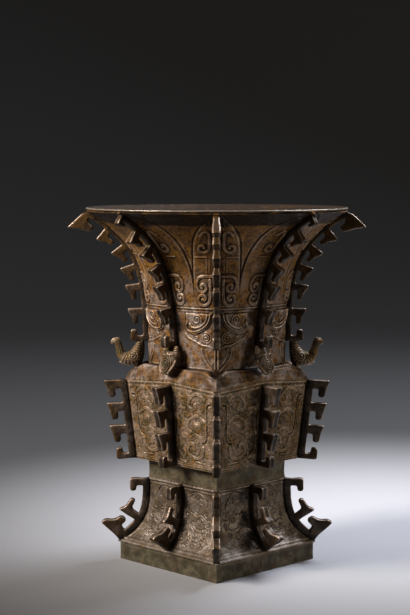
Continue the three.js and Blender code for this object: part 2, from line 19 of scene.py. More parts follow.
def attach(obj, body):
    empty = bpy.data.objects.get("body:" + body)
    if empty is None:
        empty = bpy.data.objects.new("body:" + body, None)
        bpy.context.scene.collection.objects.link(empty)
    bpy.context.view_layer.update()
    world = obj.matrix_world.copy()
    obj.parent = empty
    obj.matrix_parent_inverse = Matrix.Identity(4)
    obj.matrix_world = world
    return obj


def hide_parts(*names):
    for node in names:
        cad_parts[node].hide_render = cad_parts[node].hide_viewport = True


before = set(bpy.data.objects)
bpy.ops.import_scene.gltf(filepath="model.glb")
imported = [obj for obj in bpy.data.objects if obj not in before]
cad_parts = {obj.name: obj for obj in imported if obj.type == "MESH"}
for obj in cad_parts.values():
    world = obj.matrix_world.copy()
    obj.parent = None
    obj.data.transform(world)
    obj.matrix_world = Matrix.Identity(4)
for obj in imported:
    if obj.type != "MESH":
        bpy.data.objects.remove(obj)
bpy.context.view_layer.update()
MM = 0.001

# %% [markdown]
# ## Camera
#
# The vessel is seen from just above the mouth, with one corner towards the camera. The camera's place and
# lens come from fitting the square corners and the rim, so the script only has to set them. The sensor's
# width counts along the picture's long side, which is upright here.

# %% Camera
CAMERA_TURN = math.radians(45.2)
CAMERA_PAN = math.radians(-0.4382)
CAMERA_PITCH = math.radians(5.0273)
CAMERA_DISTANCE = 1.6581
CAMERA_HEIGHT = 0.41885
CAMERA_LENS = 91.19
SENSOR = 36

camera_data = bpy.data.cameras.new("camera")
camera_data.lens = CAMERA_LENS
camera_data.sensor_width = SENSOR
camera = bpy.data.objects.new("camera", camera_data)
camera.location = (
    CAMERA_DISTANCE * math.sin(CAMERA_TURN),
    -CAMERA_DISTANCE * math.cos(CAMERA_TURN),
    CAMERA_HEIGHT,
)
camera.rotation_euler = (math.pi / 2 - CAMERA_PITCH, 0, CAMERA_TURN - CAMERA_PAN)
bpy.context.collection.objects.link(camera)
scene = bpy.context.scene
scene.camera = camera
scene.view_settings.view_transform = "Standard"
print("camera at", [round(value, 3) for value in camera.location])

# %% [markdown]
# ## Nodes
#
# Materials and Geometry Nodes are both node trees. One small function adds a node, sets it and links it:
# an input is either a value or the output of a node made before. Colours are written as sRGB hex, the way
# a colour picker shows them, and turned to the linear values that shaders work with.

# %% Node helper and colours
MATH, VECTOR_MATH, NOISE = "ShaderNodeMath", "ShaderNodeVectorMath", "ShaderNodeTexNoise"
RANGE, MIX = "ShaderNodeMapRange", "ShaderNodeMix"
SPLIT, JOIN, PLACE = "ShaderNodeSeparateXYZ", "ShaderNodeCombineXYZ", "GeometryNodeSetPosition"
# the mix node's sockets for colours
MIX_A, MIX_B, MIX_RESULT = 6, 7, 2


def add(tree, kind, inputs=None, **settings):
    made = tree.nodes.new(kind)
    for name, value in settings.items():
        setattr(made, name, value)
    for name, value in (inputs or {}).items():
        socket = made.inputs[name]
        if isinstance(value, bpy.types.Node):
            value = value.outputs[0]
        if isinstance(value, bpy.types.NodeSocket):
            tree.links.new(value, socket)
        else:
            socket.default_value = value
    return made


def linear(hex_colour):
    parts = [int(hex_colour[i:i + 2], 16) / 255 for i in (1, 3, 5)]
    return [part / 12.92 if part <= 0.04045 else ((part + 0.055) / 1.055) ** 2.4 for part in parts] + [1]


print("a mid brown in linear values:", [round(part, 3) for part in linear("#7a5634")])

# %% [markdown]
# ## Floor and light
#
# A plain pale floor keeps the shadow under the plinth. It curves up into a low wall all round, as a
# studio cove does, so no edge shows behind the vessel from any side. A pool of light is painted on the
# floor: it is palest behind the vessel on the right and falls off to grey up the wall. The wall stays
# grey because waxed bronze mirrors its room: a pale wall would wash out the sides in shade. For the same
# reason the floor is pale to the eye and in reflections, but throws little light back up. A soft lamp
# high on the left models the relief, as light that rakes across a low carving shows it best. A weak one
# low on the right lifts the sides in shade, and one behind on the right draws the thin bright edges that
# part dark bronze from its ground.

# %% Floor
COVE_RADIUS, COVE_BEND, COVE_HEIGHT = 2.3, 1.3, 2.6
COVE_STEPS, COVE_TURNS = 12, 64
FLOOR_COLOUR, WALL_COLOUR, BOUNCE_COLOUR = "#c8c9cf", "#424345", "#4c4c4c"
# a painted pool of light: the floor is palest round this spot and fades to grey between these two
# distances
LIGHT_POOL_CENTRE = (0.01, 0.28, 0)
LIGHT_POOL_FULL_TO, LIGHT_POOL_GONE_AT = 0.06, 0.68
FLOOR_ROUGHNESS = 0.9

cove = [(0.0, 0.0)]
for step in range(COVE_STEPS + 1):
    bend = math.pi / 2 * step / COVE_STEPS
    cove.append((COVE_RADIUS + COVE_BEND * math.sin(bend), COVE_BEND * (1 - math.cos(bend))))
cove.append((COVE_RADIUS + COVE_BEND, COVE_HEIGHT))
floor_points = [(0.0, 0.0, 0.0)]
floor_faces = []
for ring, (reach, up) in enumerate(cove[1:]):
    for turn in range(COVE_TURNS):
        angle = 2 * math.pi * turn / COVE_TURNS
        floor_points.append((reach * math.cos(angle), reach * math.sin(angle), up))
        here, after = 1 + ring * COVE_TURNS + turn, 1 + ring * COVE_TURNS + (turn + 1) % COVE_TURNS
        if ring == 0:
            floor_faces.append((0, here, after))
        else:
            floor_faces.append((here - COVE_TURNS, here, after, after - COVE_TURNS))
floor_mesh = bpy.data.meshes.new("floor")
floor_mesh.from_pydata(floor_points, [], floor_faces)
for face in floor_mesh.polygons:
    face.use_smooth = True
floor = bpy.data.objects.new("floor", floor_mesh)
bpy.context.collection.objects.link(floor)

floor_paint = bpy.data.materials.new("matt_pale_floor")
floor_paint.use_nodes = True
tree = floor_paint.node_tree
floor_shader = tree.nodes["Principled BSDF"]
floor_shader.inputs["Roughness"].default_value = FLOOR_ROUGHNESS
place = add(tree, "ShaderNodeTexCoord").outputs["Object"]
# the painted pool of light fades with the distance from its centre
away = add(tree, VECTOR_MATH, {0: place, 1: LIGHT_POOL_CENTRE}, operation="DISTANCE").outputs["Value"]
light_pool_faded = add(tree, RANGE, {"Value": away, "From Min": LIGHT_POOL_FULL_TO, "From Max": LIGHT_POOL_GONE_AT},
             interpolation_type="SMOOTHSTEP")
shown = add(tree, MIX, {"Factor": light_pool_faded, MIX_A: linear(FLOOR_COLOUR), MIX_B: linear(WALL_COLOUR)},
            data_type="RGBA")
rays = add(tree, "ShaderNodeLightPath").outputs
seen = rays["Is Camera Ray"]
for ray in ("Is Glossy Ray", "Is Transmission Ray"):
    seen = add(tree, MATH, {0: seen, 1: rays[ray]}, operation="MAXIMUM")
shown = add(tree, MIX, {"Factor": seen, MIX_A: linear(BOUNCE_COLOUR), MIX_B: shown.outputs[MIX_RESULT]},
            data_type="RGBA")
tree.links.new(shown.outputs[MIX_RESULT], floor_shader.inputs["Base Color"])
floor_mesh.materials.append(floor_paint)
print("floor faces:", len(floor_faces))

# %% Light
WORLD_COLOUR = "#1e1f21"
LAMPS = {
    "key": dict(turn=-66, height=1.15, distance=1.5, size=0.6, power=46, colour="#fff5ea"),
    "fill": dict(turn=80, height=0.4, distance=1.7, size=0.35, power=4.8, colour="#fff0d8"),
    "edge": dict(turn=130, height=1.6, distance=1.2, size=0.8, power=42, colour="#f2f6ff"),
}
LAMP_AIM = 0.2

world = bpy.data.worlds.new("studio")
world.use_nodes = True
world.node_tree.nodes["Background"].inputs["Color"].default_value = linear(WORLD_COLOUR)
scene.world = world


def lamp(name, turn, height, distance, size, power, colour):
    data = bpy.data.lights.new(name, "AREA")
    data.size = size
    data.energy = power
    data.color = linear(colour)[:3]
    made = bpy.data.objects.new(name, data)
    angle = CAMERA_TURN + math.radians(turn)
    made.location = (distance * math.sin(angle), -distance * math.cos(angle), height)
    made.rotation_euler = (math.atan2(distance, height - LAMP_AIM), 0, angle)
    bpy.context.collection.objects.link(made)


for lamp_name, lamp_values in LAMPS.items():
    lamp(lamp_name, **lamp_values)
print("lamps:", list(LAMPS))

# %% [markdown]
# ## Patinated bronze
#
# Cast bronze is left as it comes from the mould, then coloured with chemicals and waxed. The patina is a
# crust of salts, so most of it is not bare metal: it drifts between brown, ochre, olive and grey over a
# few centimetres, with a pinkish grey bloom low down that turns to amber towards the rim, and dark grime
# and specks. It stays dark in the hollows, and hands rub the ridges back to a paler bronze. Every piece
# therefore carries a wear attribute, from 0 in a hollow to 1 on a ridge; on some pieces it also holds
# painted shade and painted highlights. It mixes a dark and a rubbed colour into the body colour, and
# noise makes the rubbing patchy. A lumpy cast skin and a fine grain like that of casting sand go into the
# bump. The grain is drawn coarser than real sand, or it would not show. The thin coat is the wax, which
# gives the cool glints.

# %% Bronze material
DRIFT = dict(size=40 * MM, edges=(0.38, 0.62), share=1.0)
STAIN = dict(size=8 * MM, edges=(0.5, 0.62), share=0.8)
BLOOM = dict(size=12 * MM, edges=(0.43, 0.58), share=0.85)
BLOOM_NONE, BLOOM_FULL = 330 * MM, 275 * MM
AMBER = dict(size=22 * MM, edges=(0.36, 0.56), share=0.8)
AMBER_NONE, AMBER_FULL = 275 * MM, 325 * MM
GRIME = dict(size=6 * MM, edges=(0.5, 0.68), share=0.6)
SPECK = dict(size=4.5 * MM, edges=(0.52, 0.63), share=0.75)
PATCH_SIZE, PATCH_REACH = 12 * MM, 0.9
LUMP_SIZE, GRAIN_SIZE = 5.5 * MM, 1.6 * MM
LUMP_DEPTH, GRAIN_DEPTH, BUMP_STRENGTH = 0.9 * MM, 0.3 * MM, 0.9
HOLLOW_EDGES, HOLLOW_SHARE = (0.1, 0.46), 0.92
RIDGE_EDGES, RIDGE_SHARE = (0.6, 1.0), 0.8
RUBBED_SMOOTHER, HOLLOW_ROUGHER = 0.1, 0.3
NOISE_DETAIL = 5
SHINE = {"Metallic": 0.35, "Specular IOR Level": 0.3, "Coat Weight": 0.14, "Coat Roughness": 0.2}


def patinated_bronze(name, body, drift, stain, bloom, speck, hollow, ridge, roughness):
    made = bpy.data.materials.new(name)
    made.use_nodes = True
    tree = made.node_tree
    shader = tree.nodes["Principled BSDF"]
    for socket_name, value in SHINE.items():
        shader.inputs[socket_name].default_value = value
    place = add(tree, "ShaderNodeTexCoord").outputs["Object"]

    # the wear attribute, which on some pieces also holds painted shade and painted highlights
    measured = add(tree, "ShaderNodeAttribute", attribute_name="wear_and_painted_light").outputs["Fac"]
    patches = add(tree, NOISE, {"Vector": place, "Scale": 1 / PATCH_SIZE, "Detail": NOISE_DETAIL})
    shift = add(tree, RANGE, {
        "Value": patches.outputs["Fac"], "To Min": -PATCH_REACH / 2, "To Max": PATCH_REACH / 2})
    wear_and_painted_light = add(tree, MATH, {0: measured, 1: shift}, use_clamp=True)

    height = add(tree, SPLIT, {0: place}).outputs["Z"]
    low = add(tree, RANGE, {"Value": height, "From Min": BLOOM_NONE, "From Max": BLOOM_FULL})
    high = add(tree, RANGE, {"Value": height, "From Min": AMBER_NONE, "From Max": AMBER_FULL})
    layers = []
    for values, tint, where in ((DRIFT, drift, None), (STAIN, stain, None), (AMBER, stain, high),
                                (BLOOM, bloom, low), (GRIME, hollow, None), (SPECK, speck, None)):
        noise = add(tree, NOISE, {"Vector": place, "Scale": 1 / values["size"], "Detail": NOISE_DETAIL})
        share = add(tree, RANGE, {
            "Value": noise.outputs["Fac"], "From Min": values["edges"][0], "From Max": values["edges"][1],
            "To Max": values["share"]})
        if where:
            share = add(tree, MATH, {0: share, 1: where}, operation="MULTIPLY")
        layers.append((tint, share))
    layers.append((hollow, add(tree, RANGE, {
        "Value": wear_and_painted_light, "From Min": HOLLOW_EDGES[0], "From Max": HOLLOW_EDGES[1],
        "To Min": HOLLOW_SHARE, "To Max": 0.0})))
    layers.append((ridge, add(tree, RANGE, {
        "Value": wear_and_painted_light, "From Min": RIDGE_EDGES[0], "From Max": RIDGE_EDGES[1], "To Max": RIDGE_SHARE})))
    colour = linear(body)
    for tint, share in layers:
        mixed = add(tree, MIX, {"Factor": share, MIX_A: colour, MIX_B: linear(tint)}, data_type="RGBA")
        colour = mixed.outputs[MIX_RESULT]
    tree.links.new(colour, shader.inputs["Base Color"])

    gloss = add(tree, RANGE, {
        "Value": wear_and_painted_light, "To Min": roughness + HOLLOW_ROUGHER, "To Max": roughness - RUBBED_SMOOTHER})
    tree.links.new(gloss.outputs[0], shader.inputs["Roughness"])
    normal = None
    for size, depth in ((LUMP_SIZE, LUMP_DEPTH), (GRAIN_SIZE, GRAIN_DEPTH)):
        skin = add(tree, NOISE, {"Vector": place, "Scale": 1 / size, "Detail": NOISE_DETAIL})
        bump = add(tree, "ShaderNodeBump", {
            "Height": skin.outputs["Fac"], "Distance": depth, "Strength": BUMP_STRENGTH})
        if normal:
            tree.links.new(normal, bump.inputs["Normal"])
        normal = bump.outputs["Normal"]
    tree.links.new(normal, shader.inputs["Normal"])
    return made


BRONZE = {
    # neck and shoulder: warm and satin, turning amber towards the rim
    "brown_bronze": patinated_bronze(
        "patinated_cast_bronze_warm_brown", body="#91693d", drift="#7b5834", stain="#9c6c20",
        bloom="#988b84", speck="#463422", hollow="#1a1009", ridge="#b8a08a", roughness=0.48),
    # body, heads and birds: duller, with olive specks
    "olive_bronze": patinated_bronze(
        "patinated_cast_bronze_olive_brown", body="#755c3d", drift="#625232", stain="#90641f",
        bloom="#988170", speck="#504b27", hollow="#20180f", ridge="#b29a80", roughness=0.5),
    # foot and rim: rubbed smooth, so that the lamps glint on it
    "grey_bronze": patinated_bronze(
        "patinated_cast_bronze_grey_brown", body="#6f5e4c", drift="#625241", stain="#75624c",
        bloom="#82756a", speck="#4f4337", hollow="#1d1812", ridge="#a59a8e", roughness=0.36),
    # plinth and waist: a flat grey green
    "green_bronze": patinated_bronze(
        "patinated_cast_bronze_grey_green", body="#5b523c", drift="#504835", stain="#66462e",
        bloom="#6b634f", speck="#433d2c", hollow="#1f1a12", ridge="#8b806a", roughness=0.5),
    # flanges and floor: almost black, with pale worn edges
    "dark_bronze": patinated_bronze(
        "patinated_cast_bronze_dark_brown", body="#513e2c", drift="#433220", stain="#684b20",
        bloom="#706156", speck="#342a1a", hollow="#110c08", ridge="#bda797", roughness=0.44),
}
# the plinth and the waist band take a greener shade of the olive bronze
print("bronzes:", [made.name for made in BRONZE.values()])

# %% [markdown]
# ## Finished pieces
#
# Each piece ends the same way: its mesh gets its bronze and its wear attribute, which on some pieces also
# holds painted shade and highlights, the object stays at the origin, it rides on the vessel's one body,
# and the solids it stands for are hidden. Where nothing else sets the wear, it is measured: a mesh is
# smoothed a little, and a point that stands above the smoothed skin is a ridge that hands reach, while
# one below it lies in a hollow.

# %% Piece and wear helpers
WEAR_PASSES = 10
SMOOTH_SIDES = 4
SHARP_FROM = math.radians(62)


def mesh_of(name, points, faces):
    made = bpy.data.meshes.new(name)
    made.from_pydata([tuple(point) for point in points], [], [tuple(face) for face in faces])
    made.validate()
    return made


def points_of(mesh):
    flat = np.empty(3 * len(mesh.vertices))
    mesh.vertices.foreach_get("co", flat)
    return flat.reshape(-1, 3)


def set_worn(mesh, values):
    layer = mesh.attributes.get("wear_and_painted_light") or mesh.attributes.new("wear_and_painted_light", "FLOAT", "POINT")
    layer.data.foreach_set("value", np.clip(values, 0, 1).astype(np.float32))


def measured_wear(mesh, full):
    ends = np.empty(2 * len(mesh.edges), dtype=np.int64)
    mesh.edges.foreach_get("vertices", ends)
    one, two = ends.reshape(-1, 2).T
    count = len(mesh.vertices)
    around = np.maximum(np.bincount(one, minlength=count) + np.bincount(two, minlength=count), 1)
    points = points_of(mesh)
    smooth = points.copy()
    for _ in range(WEAR_PASSES):
        smooth = np.stack([
            np.bincount(one, smooth[two, axis], count) + np.bincount(two, smooth[one, axis], count)
            for axis in range(3)], axis=1) / around[:, None]
    normals = np.empty(3 * count)
    mesh.vertex_normals.foreach_get("vector", normals)
    proud = ((points - smooth) * normals.reshape(-1, 3)).sum(axis=1)
    return 0.5 + 0.5 * proud / full


def finished(name, mesh, slot, nodes):
    mesh.materials.clear()
    mesh.materials.append(BRONZE[slot])
    for face in mesh.polygons:
        face.use_smooth = len(face.vertices) <= SMOOTH_SIDES
    mesh.set_sharp_from_angle(angle=SHARP_FROM)
    piece = bpy.data.objects.new(name, mesh)
    bpy.context.collection.objects.link(piece)
    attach(piece, "root")
    if nodes:
        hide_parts(*nodes)
    mesh.calc_loop_triangles()
    print(name, "triangles:", len(mesh.loop_triangles))
    return piece


print("smoothing passes behind the measured wear:", WEAR_PASSES)

# %% [markdown]
# ## Drawing relief
#
# A pattern is a list of paths in millimetres: how far from the flange, and how far up the wall. Every
# grid point of a sheet measures its distance to a path, and that distance gives the height of a flat band
# with soft edges, or the depth of a cut line. A broad band gets a line cut down its middle. Curls are
# smooth curves through a few points, as a carver would sketch them, and spirals follow from a centre and
# a radius. The ground between them is filled with the thunder pattern, small squared spirals.

# %% Paths
CURVE_STEPS = 10
SPIRAL_STEPS = 16
BAND_FOOT, BAND_EDGE = 0.35, 1.15
GROOVED_FROM, GROOVE_DEPTH, GROOVE_HALF = 3.4, 0.45, 0.65
TINY = 1e-9


def curve(*points):
    fixed = np.array(points, dtype=float)
    padded = np.concatenate([[2 * fixed[0] - fixed[1]], fixed, [2 * fixed[-1] - fixed[-2]]])
    part = np.linspace(0, 1, CURVE_STEPS, endpoint=False)[:, None]
    runs = []
    for before, start, end, after in zip(padded, padded[1:], padded[2:], padded[3:]):
        runs.append(0.5 * (
            2 * start + (end - before) * part + (2 * before - 5 * start + 4 * end - after) * part ** 2
            + (3 * start - before - 3 * end + after) * part ** 3))
    return np.concatenate(runs + [fixed[-1:]])


def spiral(across, up, outer, inner, turns, start=0.0, hand=1):
    steps = max(int(SPIRAL_STEPS * turns), 2)
    way = np.linspace(0, 1, steps + 1)
    radius = outer + (inner - outer) * way
    angle = math.radians(start) + hand * 2 * math.pi * turns * way
    return np.stack([across + radius * np.cos(angle), up + radius * np.sin(angle)], axis=1)


def distance_to(path, across, up):
    nearest = np.full(across.shape, np.inf)
    for (x0, y0), (x1, y1) in zip(path, path[1:]):
        dx, dy = x1 - x0, y1 - y0
        along = ((across - x0) * dx + (up - y0) * dy) / max(dx * dx + dy * dy, TINY)
        along = np.clip(along, 0, 1)
        nearest = np.minimum(nearest, (across - x0 - along * dx) ** 2 + (up - y0 - along * dy) ** 2)
    return np.sqrt(nearest)


def dome(share):
    return np.sqrt(np.clip(1 - share ** 2, 0, 1))


def ramp(values, low, high):
    share = np.clip((values - low) / (high - low), 0, 1)
    return share * share * (3 - 2 * share)


def wave(angle):
    return 0.5 + 0.5 * np.cos(angle)


def bands(height, across, up, strokes):
    for path, width, rise in strokes:
        away = distance_to(path, across, up)
        band = rise * ramp(width / 2 - away, -BAND_FOOT, BAND_EDGE)
        if width >= GROOVED_FROM:
            band = band - GROOVE_DEPTH * dome(away / GROOVE_HALF)
        height = np.maximum(height, band)
    return height


def cuts(height, across, up, strokes):
    for path, width, depth in strokes:
        height = height - depth * dome(distance_to(path, across, up) / (width / 2))
    return height


def thunder(across, up, pitch, rings):
    x = across / pitch - np.round(across / pitch)
    row = np.round(up / pitch)
    y = up / pitch - row
    flip = 1 - 2 * (row % 2)
    radius = 2 * np.maximum(np.abs(x), np.abs(y))
    angle = np.arctan2(y, x * flip) / (2 * math.pi)
    return wave(2 * math.pi * (rings * radius - angle))


print("points on a spiral:", len(spiral(0, 0, 6, 1, 2)))

# %% [markdown]
# ## Wrapping a sheet onto a wall
#
# Two rules give the vessel's walls. The neck's plan is a superellipse that runs from a rounded square at
# the bottom to a circle at the rim, while its radius grows with a high power of the way up. The body and
# the foot are square, and their half-width follows a power of the way down. Each rule is a Geometry Nodes
# tree that reads a flat sheet, x across and y from 0 at the bottom to 1 at the top, and moves its points
# onto the wall. The relief then lifts every point along the wall's own normal, together with a slight
# unevenness, since no mould is perfectly flat. The sizes are the trees' inputs, so one tree serves
# several walls.

# %% Tree helpers
FLOAT = "NodeSocketFloat"
MID_NOISE = 0.5


def geometry_tree(name, inputs):
    tree = bpy.data.node_groups.new(name, "GeometryNodeTree")
    tree.interface.new_socket("Geometry", in_out="INPUT", socket_type="NodeSocketGeometry")
    for label, kind in inputs.items():
        tree.interface.new_socket(label, in_out="INPUT", socket_type=kind)
    tree.interface.new_socket("Geometry", in_out="OUTPUT", socket_type="NodeSocketGeometry")
    return tree, add(tree, "NodeGroupInput").outputs


def grown(mesh, tree, values):
    holder = bpy.data.objects.new(mesh.name, mesh)
    bpy.context.collection.objects.link(holder)
    modifier = holder.modifiers.new(tree.name, "NODES")
    modifier.node_group = tree
    for item in tree.interface.items_tree:
        if item.in_out == "INPUT" and item.name in values:
            modifier[item.identifier] = values[item.name]
    graph = bpy.context.evaluated_depsgraph_get()
    plain = bpy.data.meshes.new_from_object(holder.evaluated_get(graph), depsgraph=graph)
    holder.modifiers.clear()
    bpy.data.objects.remove(holder)
    return plain


def finish_wall(tree, given, spot):
    turned = add(tree, "ShaderNodeVectorRotate", {"Vector": spot, "Angle": given["Turn"]},
                 rotation_type="Z_AXIS")
    wall = add(tree, PLACE, {"Geometry": given["Geometry"], "Position": turned})
    relief = add(tree, "GeometryNodeInputNamedAttribute", {"Name": "relief"}, data_type="FLOAT")
    lift = relief.outputs["Attribute"]
    for layer in ("Unevenness", "Pitting"):
        noise = add(tree, NOISE, {"Scale": given[layer + " scale"]})
        centred = add(tree, MATH, {0: noise.outputs["Fac"], 1: MID_NOISE}, operation="SUBTRACT")
        lift = add(tree, MATH, {0: centred, 1: given[layer], 2: lift}, operation="MULTIPLY_ADD")
    normal = add(tree, "GeometryNodeInputNormal")
    offset = add(tree, VECTOR_MATH, {0: normal, "Scale": lift}, operation="SCALE")
    raised = add(tree, PLACE, {"Geometry": wall, "Offset": offset})
    whole = add(tree, "GeometryNodeRealizeInstances", {"Geometry": raised})
    painted = add(tree, "GeometryNodeSetMaterial", {"Geometry": whole, "Material": given["Bronze"]})
    add(tree, "NodeGroupOutput", {"Geometry": painted})


SKIN_INPUTS = {
    "Turn": FLOAT, "Unevenness": FLOAT, "Unevenness scale": FLOAT, "Pitting": FLOAT,
    "Pitting scale": FLOAT, "Bronze": "NodeSocketMaterial"}
print("inputs that both walls share:", list(SKIN_INPUTS))

# %% Trumpet tree
tree, given = geometry_tree("trumpet wall", {
    "Bottom": FLOAT, "Rise": FLOAT, "Corner radius": FLOAT, "Lean": FLOAT, "Flare": FLOAT,
    "Flare power": FLOAT, "Plan at bottom": FLOAT, "Plan at rim": FLOAT, **SKIN_INPUTS})
sheet = add(tree, SPLIT, {0: add(tree, "GeometryNodeInputPosition")}).outputs
angle, way_up = sheet["X"], sheet["Y"]
flared = add(tree, MATH, {0: way_up, 1: given["Flare power"]}, operation="POWER")
leaning = add(tree, MATH, {0: way_up, 1: given["Lean"], 2: given["Corner radius"]},
              operation="MULTIPLY_ADD")
corner = add(tree, MATH, {0: flared, 1: given["Flare"], 2: leaning}, operation="MULTIPLY_ADD")
plan = add(tree, RANGE, {"Value": way_up, "To Min": given["Plan at bottom"],
                         "To Max": given["Plan at rim"]})
exponent = add(tree, MATH, {0: 1.0, 1: plan}, operation="DIVIDE")
waves, powers = [], []
for wave_name in ("COSINE", "SINE"):
    waves.append(add(tree, MATH, {0: angle}, operation=wave_name))
    size = add(tree, MATH, {0: waves[-1]}, operation="ABSOLUTE")
    powers.append(add(tree, MATH, {0: size, 1: exponent}, operation="POWER"))
both = add(tree, MATH, {0: powers[0], 1: powers[1]})
shape = add(tree, MATH, {0: both, 1: plan}, operation="POWER")
short = add(tree, MATH, {0: given["Plan at rim"], 1: plan}, operation="SUBTRACT")
bulge = add(tree, MATH, {0: 2.0, 1: short}, operation="POWER")
scaled = add(tree, MATH, {0: shape, 1: bulge}, operation="MULTIPLY")
radius = add(tree, MATH, {0: corner, 1: scaled}, operation="DIVIDE")
x, y = (add(tree, MATH, {0: radius, 1: wave}, operation="MULTIPLY") for wave in waves)
upright = add(tree, MATH, {0: way_up, 1: given["Rise"], 2: given["Bottom"]}, operation="MULTIPLY_ADD")
finish_wall(tree, given, add(tree, JOIN, {"X": x, "Y": y, "Z": upright}))
trumpet_tree = tree
print("trumpet tree nodes:", len(trumpet_tree.nodes))

# %% Square stage tree
tree, given = geometry_tree("square stage wall", {
    "Bottom": FLOAT, "Rise": FLOAT, "Top half": FLOAT, "Spread": FLOAT, "Spread power": FLOAT,
    "Inset": FLOAT, **SKIN_INPUTS})
sheet = add(tree, SPLIT, {0: add(tree, "GeometryNodeInputPosition")}).outputs
across, way_up = sheet["X"], sheet["Y"]
way_down = add(tree, MATH, {0: 1.0, 1: way_up}, operation="SUBTRACT")
spread = add(tree, MATH, {0: way_down, 1: given["Spread power"]}, operation="POWER")
half = add(tree, MATH, {0: spread, 1: given["Spread"], 2: given["Top half"]}, operation="MULTIPLY_ADD")
inner_half = add(tree, MATH, {0: half, 1: given["Inset"]}, operation="SUBTRACT")
sideways = add(tree, MATH, {0: across, 1: inner_half}, operation="MULTIPLY")
outwards = add(tree, MATH, {0: inner_half, 1: -1.0}, operation="MULTIPLY")
upright = add(tree, MATH, {0: way_up, 1: given["Rise"], 2: given["Bottom"]}, operation="MULTIPLY_ADD")
finish_wall(tree, given, add(tree, JOIN, {"X": sideways, "Y": outwards, "Z": upright}))
stage_tree = tree
print("stage tree nodes:", len(stage_tree.nodes))

# %% [markdown]
# ## Rings of castings
#
# The flanges and the heads come in rings of four: one casting, turned a quarter each time. A small tree
# repeats them, and it also gives each copy its own slight unevenness, because the noise is read where the
# copy stands. With a count of one the same tree roughens a single piece.

# %% Ring tree
CASTING_UNEVENNESS = 0.7 * MM
CASTING_SIZE = 9 * MM

tree, given = geometry_tree("ring of castings", {
    "Count": "NodeSocketInt", "First angle": FLOAT, "Unevenness": FLOAT, "Unevenness scale": FLOAT,
    "Bronze": "NodeSocketMaterial"})
spots = add(tree, "GeometryNodePoints", {"Count": given["Count"]})
share = add(tree, MATH, {0: 2 * math.pi, 1: given["Count"]}, operation="DIVIDE")
index = add(tree, "GeometryNodeInputIndex")
turn = add(tree, MATH, {0: index, 1: share, 2: given["First angle"]}, operation="MULTIPLY_ADD")
rotation = add(tree, "FunctionNodeEulerToRotation", {0: add(tree, JOIN, {"Z": turn})})
copies = add(tree, "GeometryNodeInstanceOnPoints", {
    "Points": spots, "Instance": given["Geometry"], "Rotation": rotation})
whole = add(tree, "GeometryNodeRealizeInstances", {"Geometry": copies})
noise = add(tree, NOISE, {"Scale": given["Unevenness scale"]})
centred = add(tree, VECTOR_MATH, {0: noise.outputs["Color"], 1: [MID_NOISE] * 3}, operation="SUBTRACT")
moved = add(tree, VECTOR_MATH, {0: centred, "Scale": given["Unevenness"]}, operation="SCALE")
uneven = add(tree, PLACE, {"Geometry": whole, "Offset": moved})
painted = add(tree, "GeometryNodeSetMaterial", {"Geometry": uneven, "Material": given["Bronze"]})
add(tree, "NodeGroupOutput", {"Geometry": painted})
casting_tree = tree
print("ring tree nodes:", len(casting_tree.nodes))


def castings(name, mesh, count, first_angle, slot, nodes):
    made = grown(mesh, casting_tree, {
        "Count": count, "First angle": first_angle, "Unevenness": CASTING_UNEVENNESS,
        "Unevenness scale": 1 / CASTING_SIZE, "Bronze": BRONZE[slot]})
    return finished(name, made, slot, nodes)

# %% [markdown]
# A wall is a closed shell: a fine outer sheet with the relief, a coarse plain inner one, and four flat
# faces round the edge. The flat faces lie where the next wall or a flange hides them. They keep flat
# shading, so that they do not bend the light on the relief beside them.

# %% Sheets and closed walls
def grid_faces(columns, rows, first=0, inside=False):
    row, column = np.mgrid[0:rows - 1, 0:columns - 1]
    start = first + (row * columns + column).ravel()
    order = [start, start + 1, start + columns + 1, start + columns]
    return np.stack(order[::-1] if inside else order, axis=1).tolist()


def sheet_mesh(name, x, y, relief):
    rows, columns = x.shape
    points = np.stack([x.ravel(), y.ravel(), np.zeros(x.size)], axis=1)
    made = mesh_of(name, points, grid_faces(columns, rows))
    layer = made.attributes.new("relief", "FLOAT", "POINT")
    layer.data.foreach_set("value", np.broadcast_to(relief, x.shape).astype(np.float32).ravel())
    return made


def closed_wall(name, outer, inner, outer_shape, inner_shape):
    points = np.concatenate([points_of(outer), points_of(inner)])
    faces = grid_faces(outer_shape[1], outer_shape[0])
    faces += grid_faces(inner_shape[1], inner_shape[0], len(outer.vertices), inside=True)
    far = np.arange(len(outer.vertices)).reshape(outer_shape)
    near = len(outer.vertices) + np.arange(len(inner.vertices)).reshape(inner_shape)
    faces += [
        [*far[0, ::-1], *near[0]],
        [*far[-1], *near[-1, ::-1]],
        [*far[:, 0], *near[::-1, 0]],
        [*far[::-1, -1], *near[:, -1]],
    ]
    return mesh_of(name, points, [[int(index) for index in face] for face in faces])


print("faces of a sheet with 3 by 3 points:", len(grid_faces(3, 3)))

# %% [markdown]
# ## Neck
#
# Each of the neck's eight flanges is the spine of a tall leaf blade. The blades stand side by side at the
# bottom, where a line parts them, and taper to the rim with a plain V of ground between. Inside each half
# blade, from the rim down, lie a small curl, a hook with a curled foot, a short bar, and a pair of
# scrolls. Below a double line comes a band with a mask on every corner, the flange for its nose: two
# lobes for brows, an eye in each and spirals below. Under its wavy edge a pointed leaf hangs down to the
# shoulder. The overhang under the rim is darkened as painted shade, and the neck a little below it too,
# and the inside of the neck is painted almost black as shade. The sheet for one quarter runs from the
# middle of one side, round the corner, to the middle of the next, so its edges hide under flanges.

